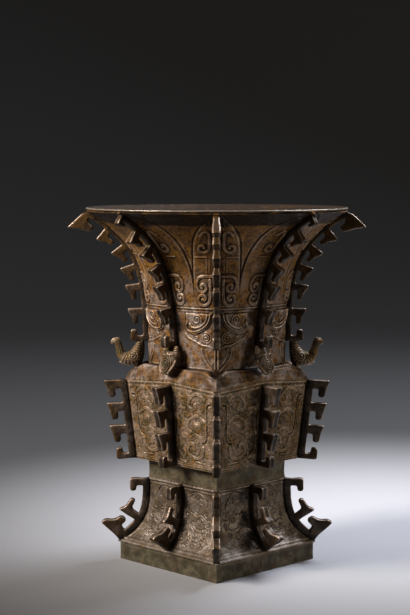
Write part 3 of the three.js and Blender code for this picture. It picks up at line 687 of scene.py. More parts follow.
# %% Neck sizes and sheet
NECK_BOTTOM, NECK_RISE = 213.3, 163.3
NECK_CORNER, NECK_LEAN, NECK_FLARE, NECK_POWER = 72.0, 5.0, 61.6, 5.0
PLAN_AT_BOTTOM, PLAN_AT_RIM = 0.15, 0.5
NECK_WALL = 4.2
NECK_HALF_COLUMNS, NECK_ROWS = 112, 330
NECK_INNER_COLUMNS, NECK_INNER_ROWS = 12, 40
ARC_SAMPLES = 400
QUARTER = math.pi / 2


def neck_radius(angle, way_up):
    inverse = PLAN_AT_BOTTOM + (PLAN_AT_RIM - PLAN_AT_BOTTOM) * way_up
    side = NECK_CORNER + NECK_LEAN * way_up + NECK_FLARE * way_up ** NECK_POWER
    side = side / 2 ** (PLAN_AT_RIM - inverse)
    total = np.abs(np.cos(angle)) ** (1 / inverse) + np.abs(np.sin(angle)) ** (1 / inverse)
    return side / total ** inverse


def neck_track(angle):
    way_up = np.linspace(0, 1, ARC_SAMPLES)
    return np.stack([neck_radius(angle, way_up), NECK_BOTTOM + NECK_RISE * way_up], axis=1)


def lengths_along(points):
    steps = np.linalg.norm(np.diff(points, axis=0), axis=1)
    return np.concatenate([[0], np.cumsum(steps)])


def neck_rows(rows):
    climbed = lengths_along(neck_track(QUARTER / 2))
    up = np.linspace(0, climbed[-1], rows)
    return np.interp(up, climbed, np.linspace(0, 1, ARC_SAMPLES)), up


def neck_sheet(half_columns, rows):
    way_up, up = neck_rows(rows)
    turn = np.linspace(0, QUARTER / 2, ARC_SAMPLES)
    share = np.linspace(0, 1, half_columns + 1)
    angles, widths = [], []
    for level in way_up:
        radius = neck_radius(QUARTER / 2 - turn, level)
        reach = lengths_along(np.stack([radius * np.cos(turn), radius * np.sin(turn)], axis=1))
        angles.append(np.interp(share * reach[-1], reach, turn))
        widths.append(reach[-1])
    angles = np.array(angles)
    whole = np.concatenate([QUARTER / 2 - angles[:, :0:-1], QUARTER / 2 + angles], axis=1)
    from_corner = np.array(widths)[:, None] * share[None, :]
    levels = np.repeat(way_up[:, None], whole.shape[1], axis=1)
    return whole, levels, from_corner, np.array(widths)[:, None], up[:, None]


neck_x, neck_y, from_corner, half_side, neck_up = neck_sheet(NECK_HALF_COLUMNS, NECK_ROWS)
print("neck sheet", neck_x.shape, "half side in mm:", half_side[0].round(1), half_side[-1].round(1))

# %% Neck relief
CORNER_BLADE = curve((24.5, -5), (24.5, 60), (24.4, 120), (23.6, 140), (21, 151), (17.5, 160.5),
                     (12.8, 170), (7.8, 180), (3.5, 188.5), (2, 195))
SIDE_BLADE = curve((33, -5), (33, 62), (34, 110), (33.6, 140), (31.5, 155), (27.5, 166), (20.5, 176),
                   (11.5, 184), (4, 189), (2, 195))
BLADE_FOOT = 66.5
SOFT = 1.0
BLADE_RISE, BLADE_EDGE = 0.75, 0.9
OUTLINE_WIDTH, OUTLINE_DEPTH = 1.9, 1.0
RIM_BAND, RIM_BAND_RISE = 170.5, 0.5
CORD, THIN_CORD, FINE_CORD = 3.5, 2.2, 1.5
HIGH, MIDDLE, LOW = 1.35, 1.0, 0.6
LOBE_RISE = 1.3

BLADE_BANDS = [
    (curve((7, 176), (7.2, 169), (9.5, 165.5), (12, 167), (11, 170)), THIN_CORD, MIDDLE),
    (curve((16.5, 150), (13, 155.5), (9, 155.5), (7.4, 150), (7, 140), (7.6, 131.5), (11, 127.4),
           (15.5, 127.6), (18.2, 131), (17, 135.2), (13.6, 135.6), (12.4, 132.8)), CORD, HIGH),
    (curve((17.5, 141), (16.5, 147), (14, 150.5)), FINE_CORD, LOW),
    (curve((10, 121), (22, 121)), THIN_CORD, MIDDLE),
    (curve((7.2, 103), (7.2, 118)), FINE_CORD, LOW),
    (curve((10.2, 103), (10.2, 118)), FINE_CORD, LOW),
    (curve((4, 99), (13, 99.3), (18.4, 97), (20.6, 91), (19, 85), (14.8, 82.4), (11, 84), (10.4, 88),
           (13, 90.6), (15.8, 89), (15, 86.4)), CORD, HIGH),
    (curve((6.4, 95), (6.2, 82), (7, 73), (10.5, 68.8), (15.5, 69), (18.8, 72.5), (18, 77.4), (14, 79.2),
           (11, 77), (12, 74), (14.2, 74.4)), CORD, HIGH),
    (curve((3.5, 64.6), (40, 64.6)), THIN_CORD, MIDDLE),
    (curve((3.5, 61.2), (40, 61.2)), FINE_CORD, LOW),
]
MASK_BANDS = [
    (curve((5.5, 59.5), (6.6, 53), (10.5, 46.5), (17.5, 41.6), (26.5, 39.4), (33.5, 41.2), (36, 45.5),
           (33.8, 50)), CORD, HIGH),
    (curve((9.4, 58), (11, 52), (15.5, 47.2), (21.5, 44.8), (27.5, 45.2), (30.5, 48.4)),
     THIN_CORD, MIDDLE),
    (spiral(21, 53.2, 5.6, 1.0, 1.7, start=200, hand=-1), THIN_CORD, MIDDLE),
    (spiral(11, 34, 6.2, 0.8, 2.2, start=80, hand=1), FINE_CORD, MIDDLE),
    (spiral(24, 33.4, 4.2, 0.8, 1.6, start=100, hand=-1), FINE_CORD, MIDDLE),
    (curve((3, 23.6), (9, 26), (15, 26.4), (21, 28.6), (27, 31), (33, 33), (38, 37.5)),
     THIN_CORD, MIDDLE),
    (curve((16.8, 22.5), (15, 15), (10.4, 8), (5.4, 2.4), (3, 0)), THIN_CORD, MIDDLE),
    (curve((11.4, 22), (10.2, 15), (7, 9), (4, 6)), FINE_CORD, MIDDLE),
    (curve((1.6, 23), (1.6, 2)), THIN_CORD, MIDDLE),
]
LOBE = curve((5.5, 60), (6.6, 53), (10.5, 46.5), (17.5, 41.6), (26.5, 39.4), (33.5, 41.2), (36, 45.5))
BAND_TOP, BAND_REACH = 60.0, 37.0


def edge_at(blade, up):
    return np.interp(up, blade[:, 1], blade[:, 0])


def neck_relief(across, side, up):
    up = np.broadcast_to(up, across.shape)
    to_side = side - across
    on_corner = across / edge_at(CORNER_BLADE, up) < to_side / edge_at(SIDE_BLADE, up)
    from_flange = np.where(on_corner, across, to_side)
    inside_blade = np.where(on_corner, edge_at(CORNER_BLADE, up), edge_at(SIDE_BLADE, up)) - from_flange
    on_blades = ramp(up, BLADE_FOOT - SOFT, BLADE_FOOT)
    height = BLADE_RISE * ramp(inside_blade, 0, BLADE_EDGE) * on_blades
    on_rim = ramp(up, RIM_BAND - SOFT / 2, RIM_BAND + SOFT / 2)
    height = height + RIM_BAND_RISE * on_rim * ramp(-inside_blade, 0, SOFT)
    outline = OUTLINE_DEPTH * dome((inside_blade + OUTLINE_WIDTH / 2) / (OUTLINE_WIDTH / 2)) * on_blades
    pattern = bands(np.zeros_like(across), from_flange, up, BLADE_BANDS)
    band = bands(np.zeros_like(across), across, up, MASK_BANDS)
    lobe_floor = np.interp(across, LOBE[:, 0], LOBE[:, 1])
    lobe = ramp(up - lobe_floor, 0, SOFT) * ramp(BAND_TOP - up, 0, SOFT)
    lobe = lobe * ramp(BAND_REACH - across, 0, 2 * SOFT)
    return height - outline + np.maximum(pattern, band) + LOBE_RISE * lobe


relief = neck_relief(from_corner, half_side, neck_up)
relief = np.concatenate([relief[:, :0:-1], relief], axis=1)
print("neck relief in mm:", relief.min().round(2), "to", relief.max().round(2))

# %% Neck walls
CORNERS = ("back_right", "back_left", "front_left", "front_right")
UNEVENNESS = 0.35 * MM
UNEVENNESS_SIZE = 16 * MM
PITTING = {"neck": 0.9 * MM, "body": 1.3 * MM, "foot": 0.8 * MM}
PITTING_SIZE = 3.6 * MM
WEAR_FULL = 0.4 * MM
# painted shade: the overhang under the rim is darkened fully, the upper neck a little, and the inner wall
# is painted almost black
OVERHANG, OVERHANG_SHADE = (163, 169.5), 1.0
UPPER, UPPER_NECK_SHADE = (105, 160), 0.06
INSIDE_SHADE_WORN = 0.02


def skin(stage, slot, quarter):
    return {
        "Turn": quarter * QUARTER, "Unevenness": UNEVENNESS, "Unevenness scale": 1 / UNEVENNESS_SIZE,
        "Pitting": PITTING[stage], "Pitting scale": 1 / PITTING_SIZE, "Bronze": BRONZE[slot]}


neck_sizes = {
    "Bottom": NECK_BOTTOM * MM, "Rise": NECK_RISE * MM, "Corner radius": NECK_CORNER * MM,
    "Lean": NECK_LEAN * MM, "Flare": NECK_FLARE * MM, "Flare power": NECK_POWER,
    "Plan at bottom": PLAN_AT_BOTTOM, "Plan at rim": PLAN_AT_RIM}
neck_inner_x, neck_inner_y, *_ = neck_sheet(NECK_INNER_COLUMNS, NECK_INNER_ROWS)
shade = OVERHANG_SHADE * ramp(neck_up, *OVERHANG) + UPPER_NECK_SHADE * ramp(neck_up, *UPPER)
shade = np.broadcast_to(shade, neck_x.shape).ravel()
for quarter, corner_name in enumerate(CORNERS):
    turned = {**neck_sizes, **skin("neck", "brown_bronze", quarter)}
    outer = grown(sheet_mesh("neck_outer", neck_x, neck_y, relief * MM), trumpet_tree, turned)
    inner = sheet_mesh("neck_inner", neck_inner_x, neck_inner_y, -NECK_WALL * MM)
    inner = grown(inner, trumpet_tree, turned)
    wall = closed_wall("neck_wall_" + corner_name, outer, inner, neck_x.shape, neck_inner_x.shape)
    wear_and_painted_light = measured_wear(wall, WEAR_FULL)
    # the painted shade comes off the outer sheet's wear, and the inner sheet is painted almost black as
    # shade
    wear_and_painted_light[:shade.size] -= shade
    wear_and_painted_light[shade.size:] = INSIDE_SHADE_WORN
    set_worn(wall, wear_and_painted_light)
    finished(wall.name, wall, "brown_bronze", ["neck_trumpet"])

# %% [markdown]
# ## Body
#
# The four sides of the body carry the same half panel eight times, mirrored at every flange, and rise to
# a low gable in the middle. Each corner is the nose of a mask: a deep bracket line runs down beside the
# flange, a horn curls over the eye, a jaw curls under it, and a long hooked line closes the panel towards
# the middle of the side. Small curls crowd the gaps, over a worn ground of squared spirals, and thin
# raised lines frame the panel. The mould was carved by hand, so all the lines wander a little.

# %% Body sizes and sheet
BODY_BOTTOM, BODY_RISE = 110.5, 86.0
BODY_TOP_HALF, BODY_SPREAD, BODY_POWER = 69.4, -7.2, 1.0
WALL = 5.0
BODY_HALF_COLUMNS, BODY_ROWS = 112, 142
BODY_GABLE = 5.0
INNER_COLUMNS, INNER_ROWS = 8, 8
SIDES_FROM_FRONT = ("front", "right", "back", "left")


def stage_sheet(half_columns, rows, bottom_half, top_half, power, rise):
    way_up = np.linspace(0, 1, ARC_SAMPLES)
    half = top_half + (bottom_half - top_half) * (1 - way_up) ** power
    climbed = lengths_along(np.stack([half, rise * way_up], axis=1))
    up = np.linspace(0, climbed[-1], rows)
    level = np.interp(up, climbed, way_up)
    width = np.interp(up, climbed, half)
    share = np.linspace(-1, 1, 2 * half_columns + 1)
    from_corner = width[:, None] * (1 - np.abs(share[half_columns:]))[None, ::-1]
    return (np.repeat(share[None, :], rows, axis=0), np.repeat(level[:, None], len(share), axis=1),
            from_corner, width[:, None], up[:, None])


body_x, body_y, from_corner, half_side, body_up = stage_sheet(
    BODY_HALF_COLUMNS, BODY_ROWS, BODY_TOP_HALF + BODY_SPREAD, BODY_TOP_HALF, BODY_POWER, BODY_RISE)
body_y = body_y * (1 + BODY_GABLE / BODY_RISE * (1 - np.abs(body_x)))
print("body sheet", body_x.shape, "wall height in mm:", body_up[-1].round(1))

# %% Body relief
BROAD = 4.4
BODY_WEAR = 0.8
BODY_WEAR_FULL = 0.5 * MM
THUNDER_PITCH, THUNDER_RINGS, THUNDER_RISE = 6.6, 1.5, 0.5
CLEAR_OF_FIGURE = 1.2
WANDER, WANDER_LONG, WANDER_SHORT = 1.1, 6.1, 2.7
CURL_CORE, CURL_TURNS, CURL_TURN_ON, CURL_WIDTH = 0.7, 1.5, 77, 1.6
BODY_CURLS = [
    (20, 70.5, 3.2), (49, 67.5, 3.6), (54.5, 75, 2.8), (45, 77, 2.2), (22, 56.3, 2.8), (46.5, 57.2, 3.3),
    (52, 50.5, 2.8), (19.5, 44.5, 3.6), (20.5, 29.5, 3.0), (27.5, 28.3, 2.9), (44, 34, 3.2),
    (51.5, 38.5, 2.8), (25.5, 19.5, 3.4), (46, 22.5, 2.6), (51.5, 29.5, 2.6), (22.5, 10.5, 2.4),
    (37.5, 7.5, 2.6), (10, 74.2, 3.4), (9.6, 22, 3.6), (10.2, 11, 3.6), (36, 57.2, 2.2),
    (44.5, 48.5, 2.5), (25.5, 67.5, 2.2), (57, 69, 2.4)]
BODY_FIGURE = [
    (curve((17, 74), (24, 76.5), (32, 76), (38.5, 71.5), (39.5, 65), (35, 60.5), (30, 62.5), (30, 66.5)),
     BROAD, HIGH),
    (curve((44.5, 74), (50.5, 72.5), (54.5, 67)), CORD, MIDDLE),
    (curve((17.5, 66), (20.5, 61.5), (25, 58.5)), CORD, MIDDLE),
    (curve((18.5, 51.5), (26.5, 54.5), (35, 53.5), (41.5, 48.5), (42, 41.5), (37, 38)), CORD, HIGH),
    (curve((17.5, 35), (24, 33.5), (31, 35.5), (37.5, 32.5)), CORD, MIDDLE),
    (curve((17.5, 24), (21.5, 15.5), (29, 10.5), (37.5, 12.5), (41, 19.5), (37.5, 25.5), (32.5, 24.5),
           (32, 20.5)), BROAD, HIGH),
    (curve((17.5, 8), (24, 6.5), (31, 6.5)), THIN_CORD, MIDDLE),
    (curve((46.5, 62.5), (53, 62.5), (56, 58), (56.5, 46), (56.5, 30), (55, 18), (49.5, 12.5), (45.5, 16),
           (47.5, 20.5)), CORD, HIGH),
    (curve((48.5, 55.5), (50.5, 47.5), (48.5, 41), (45.5, 44), (47.5, 47)), CORD, MIDDLE),
    (curve((49, 34.5), (46.5, 29), (50, 25)), CORD, MIDDLE),
    (curve((44, 7.5), (51, 8.5), (56.5, 9.5)), THIN_CORD, MIDDLE),
]
BODY_EYE = (30, 44.5, 7.2, 5.0)
EYE_RISE, EYE_RING = 1.9, 0.72
PUPIL_DEPTH, PUPIL_HALF = 0.5, 0.14
BODY_NOSE = curve((8.5, 69.6), (11.8, 69), (13.6, 66), (13.8, 52), (13.6, 38), (14.6, 32), (17.5, 28.5),
                  (20.5, 28))
BODY_NOSE_INNER = curve((10.8, 64), (11, 52), (10.8, 38))
BODY_LINES = [(83.4, 1.9, 0.6), (79.9, 1.4, 0.4), (2.6, 1.7, 0.6)]
PANEL_EDGE = (5.2, 79.0, 4.4)
NOSE_WIDTH, NOSE_DEPTH = 2.0, 1.3


def framed(across, side, up, edge):
    near, top, bottom = edge
    return np.minimum(np.minimum(across - near, side - across - near), np.minimum(top - up, up - bottom))


def level_lines(height, up, lines):
    for level, width, rise in lines:
        height = np.maximum(height, rise * dome((up - level) / (width / 2)))
    return height


def wandering(across, up):
    sideways = np.sin(up / WANDER_LONG) + 0.5 * np.sin(across / WANDER_SHORT + up / WANDER_LONG)
    upwards = np.sin(across / WANDER_LONG) + 0.5 * np.sin(up / WANDER_SHORT - across / WANDER_LONG)
    return across + WANDER * sideways, up + WANDER * upwards


def curls(spots, core, turns, turn_on, width, rise):
    # every second curl winds the other way
    made = []
    for number, (x, y, radius) in enumerate(spots):
        path = spiral(x, y, radius, core, turns, start=turn_on * number, hand=1 - 2 * (number % 2))
        made.append((path, width, rise))
    return made


def figure_on_thunder(across, up, inside, figure, eye, ground_rise):
    across, up = wandering(across, up)
    pattern = bands(np.zeros_like(across), across, up, figure)
    if eye:
        x, y, wide, high = eye
        oval = np.hypot((across - x) / wide, (up - y) / high)
        pupil = PUPIL_DEPTH * dome((oval - EYE_RING) / PUPIL_HALF)
        pattern = np.maximum(pattern, EYE_RISE * dome(oval) - pupil * (oval < 1))
    nearest = np.full(across.shape, np.inf)
    for path, width, _ in figure:
        nearest = np.minimum(nearest, distance_to(path, across, up) - width / 2)
    ground = ground_rise * thunder(across, up, THUNDER_PITCH, THUNDER_RINGS)
    ground = ground * ramp(nearest, 0, CLEAR_OF_FIGURE) * ramp(inside, 0, CLEAR_OF_FIGURE)
    return np.maximum(pattern, ground)


def body_relief(across, side, up):
    up = np.broadcast_to(up, across.shape)
    inside = framed(across, side, up, PANEL_EDGE)
    figure = BODY_FIGURE + curls(BODY_CURLS, CURL_CORE, CURL_TURNS, CURL_TURN_ON, CURL_WIDTH, MIDDLE)
    height = BODY_WEAR * figure_on_thunder(across, up, inside, figure, BODY_EYE, THUNDER_RISE)
    height = np.maximum(height, LOW * dome(inside / (FINE_CORD / 2)))
    height = level_lines(height, up, BODY_LINES)
    nose = [(BODY_NOSE, NOSE_WIDTH, NOSE_DEPTH), (BODY_NOSE_INNER, FINE_CORD, LOW)]
    return cuts(height, across, up, nose)


relief = body_relief(from_corner, half_side, body_up)
relief = np.concatenate([relief, relief[:, -2::-1]], axis=1)
print("body relief in mm:", relief.min().round(2), "to", relief.max().round(2))

# %% Body walls
def stage_walls(stage, x, y, relief, wear_full, sizes, slot, nodes):
    stem = stage + "_wall"
    inner_x, inner_y = np.meshgrid(np.linspace(-1, 1, INNER_COLUMNS + 1),
                                   np.linspace(0, 1, INNER_ROWS + 1))
    for quarter, side_name in enumerate(SIDES_FROM_FRONT):
        turned = {**sizes, **skin(stage, slot, quarter)}
        outer = grown(sheet_mesh(stem, x, y, relief * MM), stage_tree, {**turned, "Inset": 0.0})
        inner = grown(sheet_mesh(stem, inner_x, inner_y, 0), stage_tree, {**turned, "Inset": WALL * MM})
        wall = closed_wall(stem + "_" + side_name, outer, inner, x.shape, inner_x.shape)
        set_worn(wall, measured_wear(wall, wear_full))
        finished(wall.name, wall, slot, nodes)


stage_walls("body", body_x, body_y, relief, BODY_WEAR_FULL, {
    "Bottom": BODY_BOTTOM * MM, "Rise": BODY_RISE * MM, "Top half": BODY_TOP_HALF * MM,
    "Spread": BODY_SPREAD * MM, "Spread power": BODY_POWER}, "olive_bronze", ["body_shell"])

# %% [markdown]
# ## Foot
#
# The foot flares like the trumpet turned over, so the body's tree wraps it with another power. Its relief
# is lower and worn almost away: on each half side a dragon with a curled snout faces the corner, and the
# small curls and lines cut round it show best. Two level lines close it above and one below.

# %% Foot sizes, relief and walls
FOOT_BOTTOM, FOOT_RISE = 20.7, 69.8
FOOT_TOP_HALF, FOOT_SPREAD, FOOT_POWER = 52.1, 23.1, 3.7
FOOT_HALF_COLUMNS, FOOT_ROWS = 112, 130
FOOT_WEAR, FOOT_GROUND = 0.4, 0.2
FOOT_CUT_DEPTH = 0.75
FOOT_WEAR_FULL = 0.75 * MM
FOOT_FIGURE = [
    (curve((16, 67), (23, 68.5), (30, 66), (33, 60.5), (29, 57.5), (24.5, 60), (26, 63.5)), CORD, MIDDLE),
    (curve((36.5, 57.5), (41, 61), (45.5, 57.5), (45, 50), (40.5, 46.5), (39.5, 41), (43, 37)),
     CORD, MIDDLE),
    (curve((13, 42), (16.5, 33.5), (24, 29), (31.5, 31.5), (33.5, 38), (29, 41.5), (25, 38.5)),
     CORD, MIDDLE),
    (curve((18, 20), (27, 15.5), (37, 17), (42.5, 24), (40, 31), (35, 29.5)), CORD, MIDDLE),
    (spiral(57, 16, 4.5, 1.0, 1.5, start=120), THIN_CORD, MIDDLE),
]
FOOT_CUT, FOOT_FINE_CUT = 1.4, 1.1
FOOT_CURL_CORE, FOOT_CURL_TURNS, FOOT_CURL_TURN_ON, FOOT_CURL_DEPTH = 0.9, 1.15, 131, 0.85
FOOT_CURLS = [
    (22, 60, 4.6), (33, 63, 3.4), (41, 57, 4.2), (16, 50, 3.2), (30, 50, 3.8), (45, 45, 3.6),
    (13, 38, 3.2), (24, 40, 4.4), (36, 36, 3.6), (49, 33, 3.8), (18, 27, 3.8), (31, 25, 4.4),
    (42, 22, 3.6), (56, 25, 3.4), (25, 14, 3.4), (37, 12, 3.2), (50, 13, 3.6), (62, 14, 3.0)]
FOOT_CUTS = [
    (curve((38, 67), (30, 69.5), (20, 68.6), (14.6, 64), (13.6, 57)), FOOT_CUT, 1.0),
    (curve((10, 45.5), (17, 44), (24, 47), (31, 45), (39, 47.5)), FOOT_FINE_CUT, 0.8),
    (curve((44.5, 65), (49, 59), (48.6, 51), (51, 44)), FOOT_FINE_CUT, 0.8),
    (curve((12, 33), (17, 34), (24, 31.5), (30, 32.5)), FOOT_FINE_CUT, 0.7),
    (curve((44.5, 30), (50.5, 27), (50.4, 19), (56, 17)), FOOT_FINE_CUT, 0.8),
    (curve((14, 19), (22, 20.5), (30, 18), (38, 18.6)), FOOT_FINE_CUT, 0.7),
]
FOOT_CUTS += curls(
    FOOT_CURLS, FOOT_CURL_CORE, FOOT_CURL_TURNS, FOOT_CURL_TURN_ON, FOOT_FINE_CUT, FOOT_CURL_DEPTH)
FOOT_LINES = [(74.4, 1.9, 1.1), (71.2, 1.3, 0.7), (4.2, 1.6, 0.8)]
FOOT_EDGE = (6.5, 70.6, 5.4)

foot_x, foot_y, from_corner, half_side, foot_up = stage_sheet(
    FOOT_HALF_COLUMNS, FOOT_ROWS, FOOT_TOP_HALF + FOOT_SPREAD, FOOT_TOP_HALF, FOOT_POWER, FOOT_RISE)


def foot_relief(across, side, up):
    up = np.broadcast_to(up, across.shape)
    inside = framed(across, side, up, FOOT_EDGE)
    height = FOOT_WEAR * figure_on_thunder(across, up, inside, FOOT_FIGURE, None, FOOT_GROUND)
    height = np.maximum(height, LOW * dome(inside / (FINE_CORD / 2)))
    height = level_lines(height, up, FOOT_LINES)
    return height + FOOT_CUT_DEPTH * cuts(np.zeros_like(height), *wandering(across, up), FOOT_CUTS)


relief = foot_relief(from_corner, half_side, foot_up)
relief = np.concatenate([relief, relief[:, -2::-1]], axis=1)
print("foot relief in mm:", relief.min().round(2), "to", relief.max().round(2))
stage_walls("foot", foot_x, foot_y, relief, FOOT_WEAR_FULL, {
    "Bottom": FOOT_BOTTOM * MM, "Rise": FOOT_RISE * MM, "Top half": FOOT_TOP_HALF * MM,
    "Spread": FOOT_SPREAD * MM, "Spread power": FOOT_POWER}, "grey_bronze", ["foot_skirt"])

# %% [markdown]
# ## Plain mouldings
#
# The plinth, the lip under the foot, the waist and the body's underside are plain square rings, and the
# rim is a round one. Each is a section drawn once, as a distance from the axis and a height, and carried
# round: square rings turn their corners in a mitre, softened by a short curve, and the rim goes round in
# a circle. The edges are rounded in the section itself, because a bronze edge is never sharp and its
# highlight shows that.

# %% Square and round rings
CORNER_STEPS = 5
SIDE_STEPS = 60
SECTION_STEP = 1.2
ROUND_STEPS = 192
EDGE_STEPS, EDGE_SHARE = 4, 0.45
CRISP_CORNER, SOFT_CORNER = 0.012, 0.02


def rounded(outline, radius):
    points = np.array(outline, dtype=float)
    made = []
    for before, here, after in zip(np.roll(points, 1, axis=0), points, np.roll(points, -1, axis=0)):
        back, on = before - here, after - here
        reach = min(radius, EDGE_SHARE * np.linalg.norm(back), EDGE_SHARE * np.linalg.norm(on))
        start = here + back / np.linalg.norm(back) * reach
        end = here + on / np.linalg.norm(on) * reach
        for step in np.linspace(0, 1, EDGE_STEPS):
            made.append((1 - step) ** 2 * start + 2 * step * (1 - step) * here + step ** 2 * end)
    return np.array(made)


def stepped(outline, step):
    made = []
    for here, after in zip(outline, np.roll(outline, -1, axis=0)):
        count = max(int(np.linalg.norm(after - here) / step), 1)
        made += [here + (after - here) * part / count for part in range(count)]
    return np.array(made)


def square_path(corner):
    straight = np.linspace(corner - 1, 1 - corner, SIDE_STEPS + 1)
    turn = np.linspace(0, QUARTER, CORNER_STEPS + 1)[1:-1]
    side = np.concatenate([
        np.stack([np.ones_like(straight), straight], axis=1),
        np.stack([1 - corner + corner * np.cos(turn), 1 - corner + corner * np.sin(turn)], axis=1)])
    quarters = []
    for angle in (0, QUARTER, 2 * QUARTER, 3 * QUARTER):
        turned = np.array([[math.cos(angle), math.sin(angle)], [-math.sin(angle), math.cos(angle)]])
        quarters.append(side @ turned)
    return np.concatenate(quarters)


def round_path():
    turn = np.linspace(0, 2 * math.pi, ROUND_STEPS, endpoint=False)
    return np.stack([np.cos(turn), np.sin(turn)], axis=1)


def ring_mesh(name, path, section):
    # the section runs counter-clockwise, x out from the axis and y up
    rows, columns = len(path), len(section)
    points = [(x * out * MM, y * out * MM, up * MM) for x, y in path for out, up in section]
    faces = []
    for row in range(rows):
        for column in range(columns):
            along, around = (row + 1) % rows, (column + 1) % columns
            faces.append((row * columns + column, along * columns + column,
                          along * columns + around, row * columns + around))
    return mesh_of(name, points, faces)


# name, path, section, radius of its edges, how much duller than measured, bronze and solids
RINGS = [
    ("plinth_ring", square_path(CRISP_CORNER), [(55, 0), (73.9, 0), (73.9, 18), (60, 18.2), (55, 18.2)],
     0.9, 0.12, "green_bronze", ["plinth"]),
    ("foot_lip", square_path(CRISP_CORNER),
     [(66, 18.3), (75.2, 18.3), (75.9, 19.8), (75.2, 21.6), (66, 22)],
     1.2, 0.05, "grey_bronze", []),
    ("waist_band", square_path(SOFT_CORNER),
     [(46.1, 90.5), (52.1, 90.5), (51.7, 96), (52.1, 110.4), (46.1, 110.4)],
     0.8, 0.0, "green_bronze", ["waist_collar"]),
    ("body_base", square_path(SOFT_CORNER), [(49.7, 110.6), (58.5, 110.6), (58.5, 116.3), (49.7, 116.3)],
     0.6, 0.15, "olive_bronze", []),
    ("rim_lip", round_path(),
     [(134.6, 378.2), (138.2, 378.0), (139.1, 378.6), (139.0, 379.6), (137.8, 380), (135.4, 379.8)],
     0.9, -0.25, "grey_bronze", []),
]
RING_WEAR = 0.8 * MM
for ring_name, path, section, edge, dull, slot, nodes in RINGS:
    ring = ring_mesh(ring_name, path, stepped(rounded(section, edge), SECTION_STEP))
    set_worn(ring, np.clip(measured_wear(ring, RING_WEAR), 0, 1) - dull)
    castings(ring_name, ring, 1, 0.0, slot, nodes)

# %% [markdown]
# ## Shoulder
#
# The shoulder is a cushion from the square body up to the neck. Its eave follows the body's gables, it
# swells on both sides of every corner and sinks in the middle of each side, where the beast's head sits,
# and in a short valley at the corner itself. It meets the neck in a small hollow curve. Two fine lines
# run along the eave. It is one loft of closed rings, all with the same count of points, so a ring only
# has to say how far out and how high it is at every angle. The rings go on inside, down the opening and
# the lip, and close on themselves.

# %% Shoulder
ROUND_POINTS = 384
SHOULDER_BOTTOM, SHOULDER_TOP = 196.8, 213.0
SHOULDER_ROWS = 64
SLOPE_POWER, SLOPE_GATHER = 0.8, 1.4
SWELL, SWELL_FROM = 3.2, (0.1, 0.8)
EAVE_IN, EAVE_SINK, EAVE_LIFT = 0.6, 0.5, 0.4
EAVE_LINES, EAVE_LINE_HALF, EAVE_LINE_RISE = (3.2, 6.0), 0.9, 0.45
LIP_LOW, LIP_OUT, LIP_IN = 190.8, 63.2, 59.0
OPENING_LOW = 205.0
SHOULDER_WORN, SHOULDER_DULL = 0.62, 0.16
# the shoulder's corners are darkened as painted shade, between these shares of the way to a corner
CORNER_SHADE, CORNER_SHADE_FROM = 0.22, (0.72, 0.96)
# out from the neck, up from the shoulder's top, and how much of the corner's valley it takes
NECK_FILLET = [(4.5, 0.0, 1), (2.4, 0.5, 1), (1.1, 1.6, 0.95), (0.9, 2.0, 0.65), (0.7, 2.6, 0.3),
               (0.5, 3.2, 0), (-2.4, 3.2, 0)]
VALLEY, VALLEY_FROM = 8.0, (0.74, 0.98)

round_angle = np.arange(ROUND_POINTS) * 2 * math.pi / ROUND_POINTS
larger = np.maximum(np.abs(np.cos(round_angle)), np.abs(np.sin(round_angle)))
smaller = np.minimum(np.abs(np.cos(round_angle)), np.abs(np.sin(round_angle)))
level = np.zeros(ROUND_POINTS)
gable = BODY_GABLE * (1 - smaller / larger)
swell = SWELL * ramp(smaller / larger, *SWELL_FROM)
valley = VALLEY * ramp(smaller / larger, *VALLEY_FROM)
neck_foot = neck_radius(round_angle, 0.0)
eave = (BODY_TOP_HALF - BODY_SPREAD / BODY_RISE * gable - EAVE_IN) / larger
low = SHOULDER_BOTTOM + EAVE_LIFT + gable
inner_end = neck_foot + NECK_FILLET[0][0]
shoulder_rings = [(eave, low - EAVE_LIFT - EAVE_SINK)]
for part in np.linspace(0, 1, SHOULDER_ROWS) ** SLOPE_GATHER:
    lifted = math.sin(part * QUARTER) ** SLOPE_POWER
    lines = sum(dome((part * (eave - inner_end) - line) / EAVE_LINE_HALF) for line in EAVE_LINES)
    up = low + (SHOULDER_TOP - low) * lifted + swell * math.sin(part * math.pi) + EAVE_LINE_RISE * lines
    shoulder_rings.append((eave + (inner_end - eave) * part, up - valley * math.sin(part * QUARTER) ** 2))
for out, up, sunk in NECK_FILLET[1:]:
    shoulder_rings.append((neck_foot + out, SHOULDER_TOP + up - sunk * valley))
shoulder_rings += [
    (neck_foot + NECK_FILLET[-1][0], OPENING_LOW + level),
    (LIP_IN / larger, SHOULDER_BOTTOM + level),
    (LIP_IN / larger, LIP_LOW + level),
    (LIP_OUT / larger, LIP_LOW + level),
    (LIP_OUT / larger, SHOULDER_BOTTOM + level)]


def ring_loft(name, rings):
    points = np.concatenate([
        np.stack([out * np.cos(round_angle), out * np.sin(round_angle), up], axis=1)
        for out, up in rings]) * MM
    faces = []
    for row in range(len(rings)):
        below, above = row * ROUND_POINTS, (row + 1) % len(rings) * ROUND_POINTS
        for here in range(ROUND_POINTS):
            after = (here + 1) % ROUND_POINTS
            faces.append((below + here, below + after, above + after, above + here))
    return mesh_of(name, points, faces)


shoulder = ring_loft("shoulder", shoulder_rings)
# duller all over, with painted shade at the corners
dull = SHOULDER_DULL + CORNER_SHADE * np.tile(ramp(smaller / larger, *CORNER_SHADE_FROM), len(shoulder_rings))
set_worn(shoulder, np.minimum(measured_wear(shoulder, WEAR_FULL), SHOULDER_WORN) - dull)
castings("shoulder", shoulder, 1, 0.0, "brown_bronze", ["shoulder_plate"])

# %% [markdown]
# The floor of the vessel lies deep in the dark, where only a plain plate shows, so its solid stays and
# takes the dark bronze.

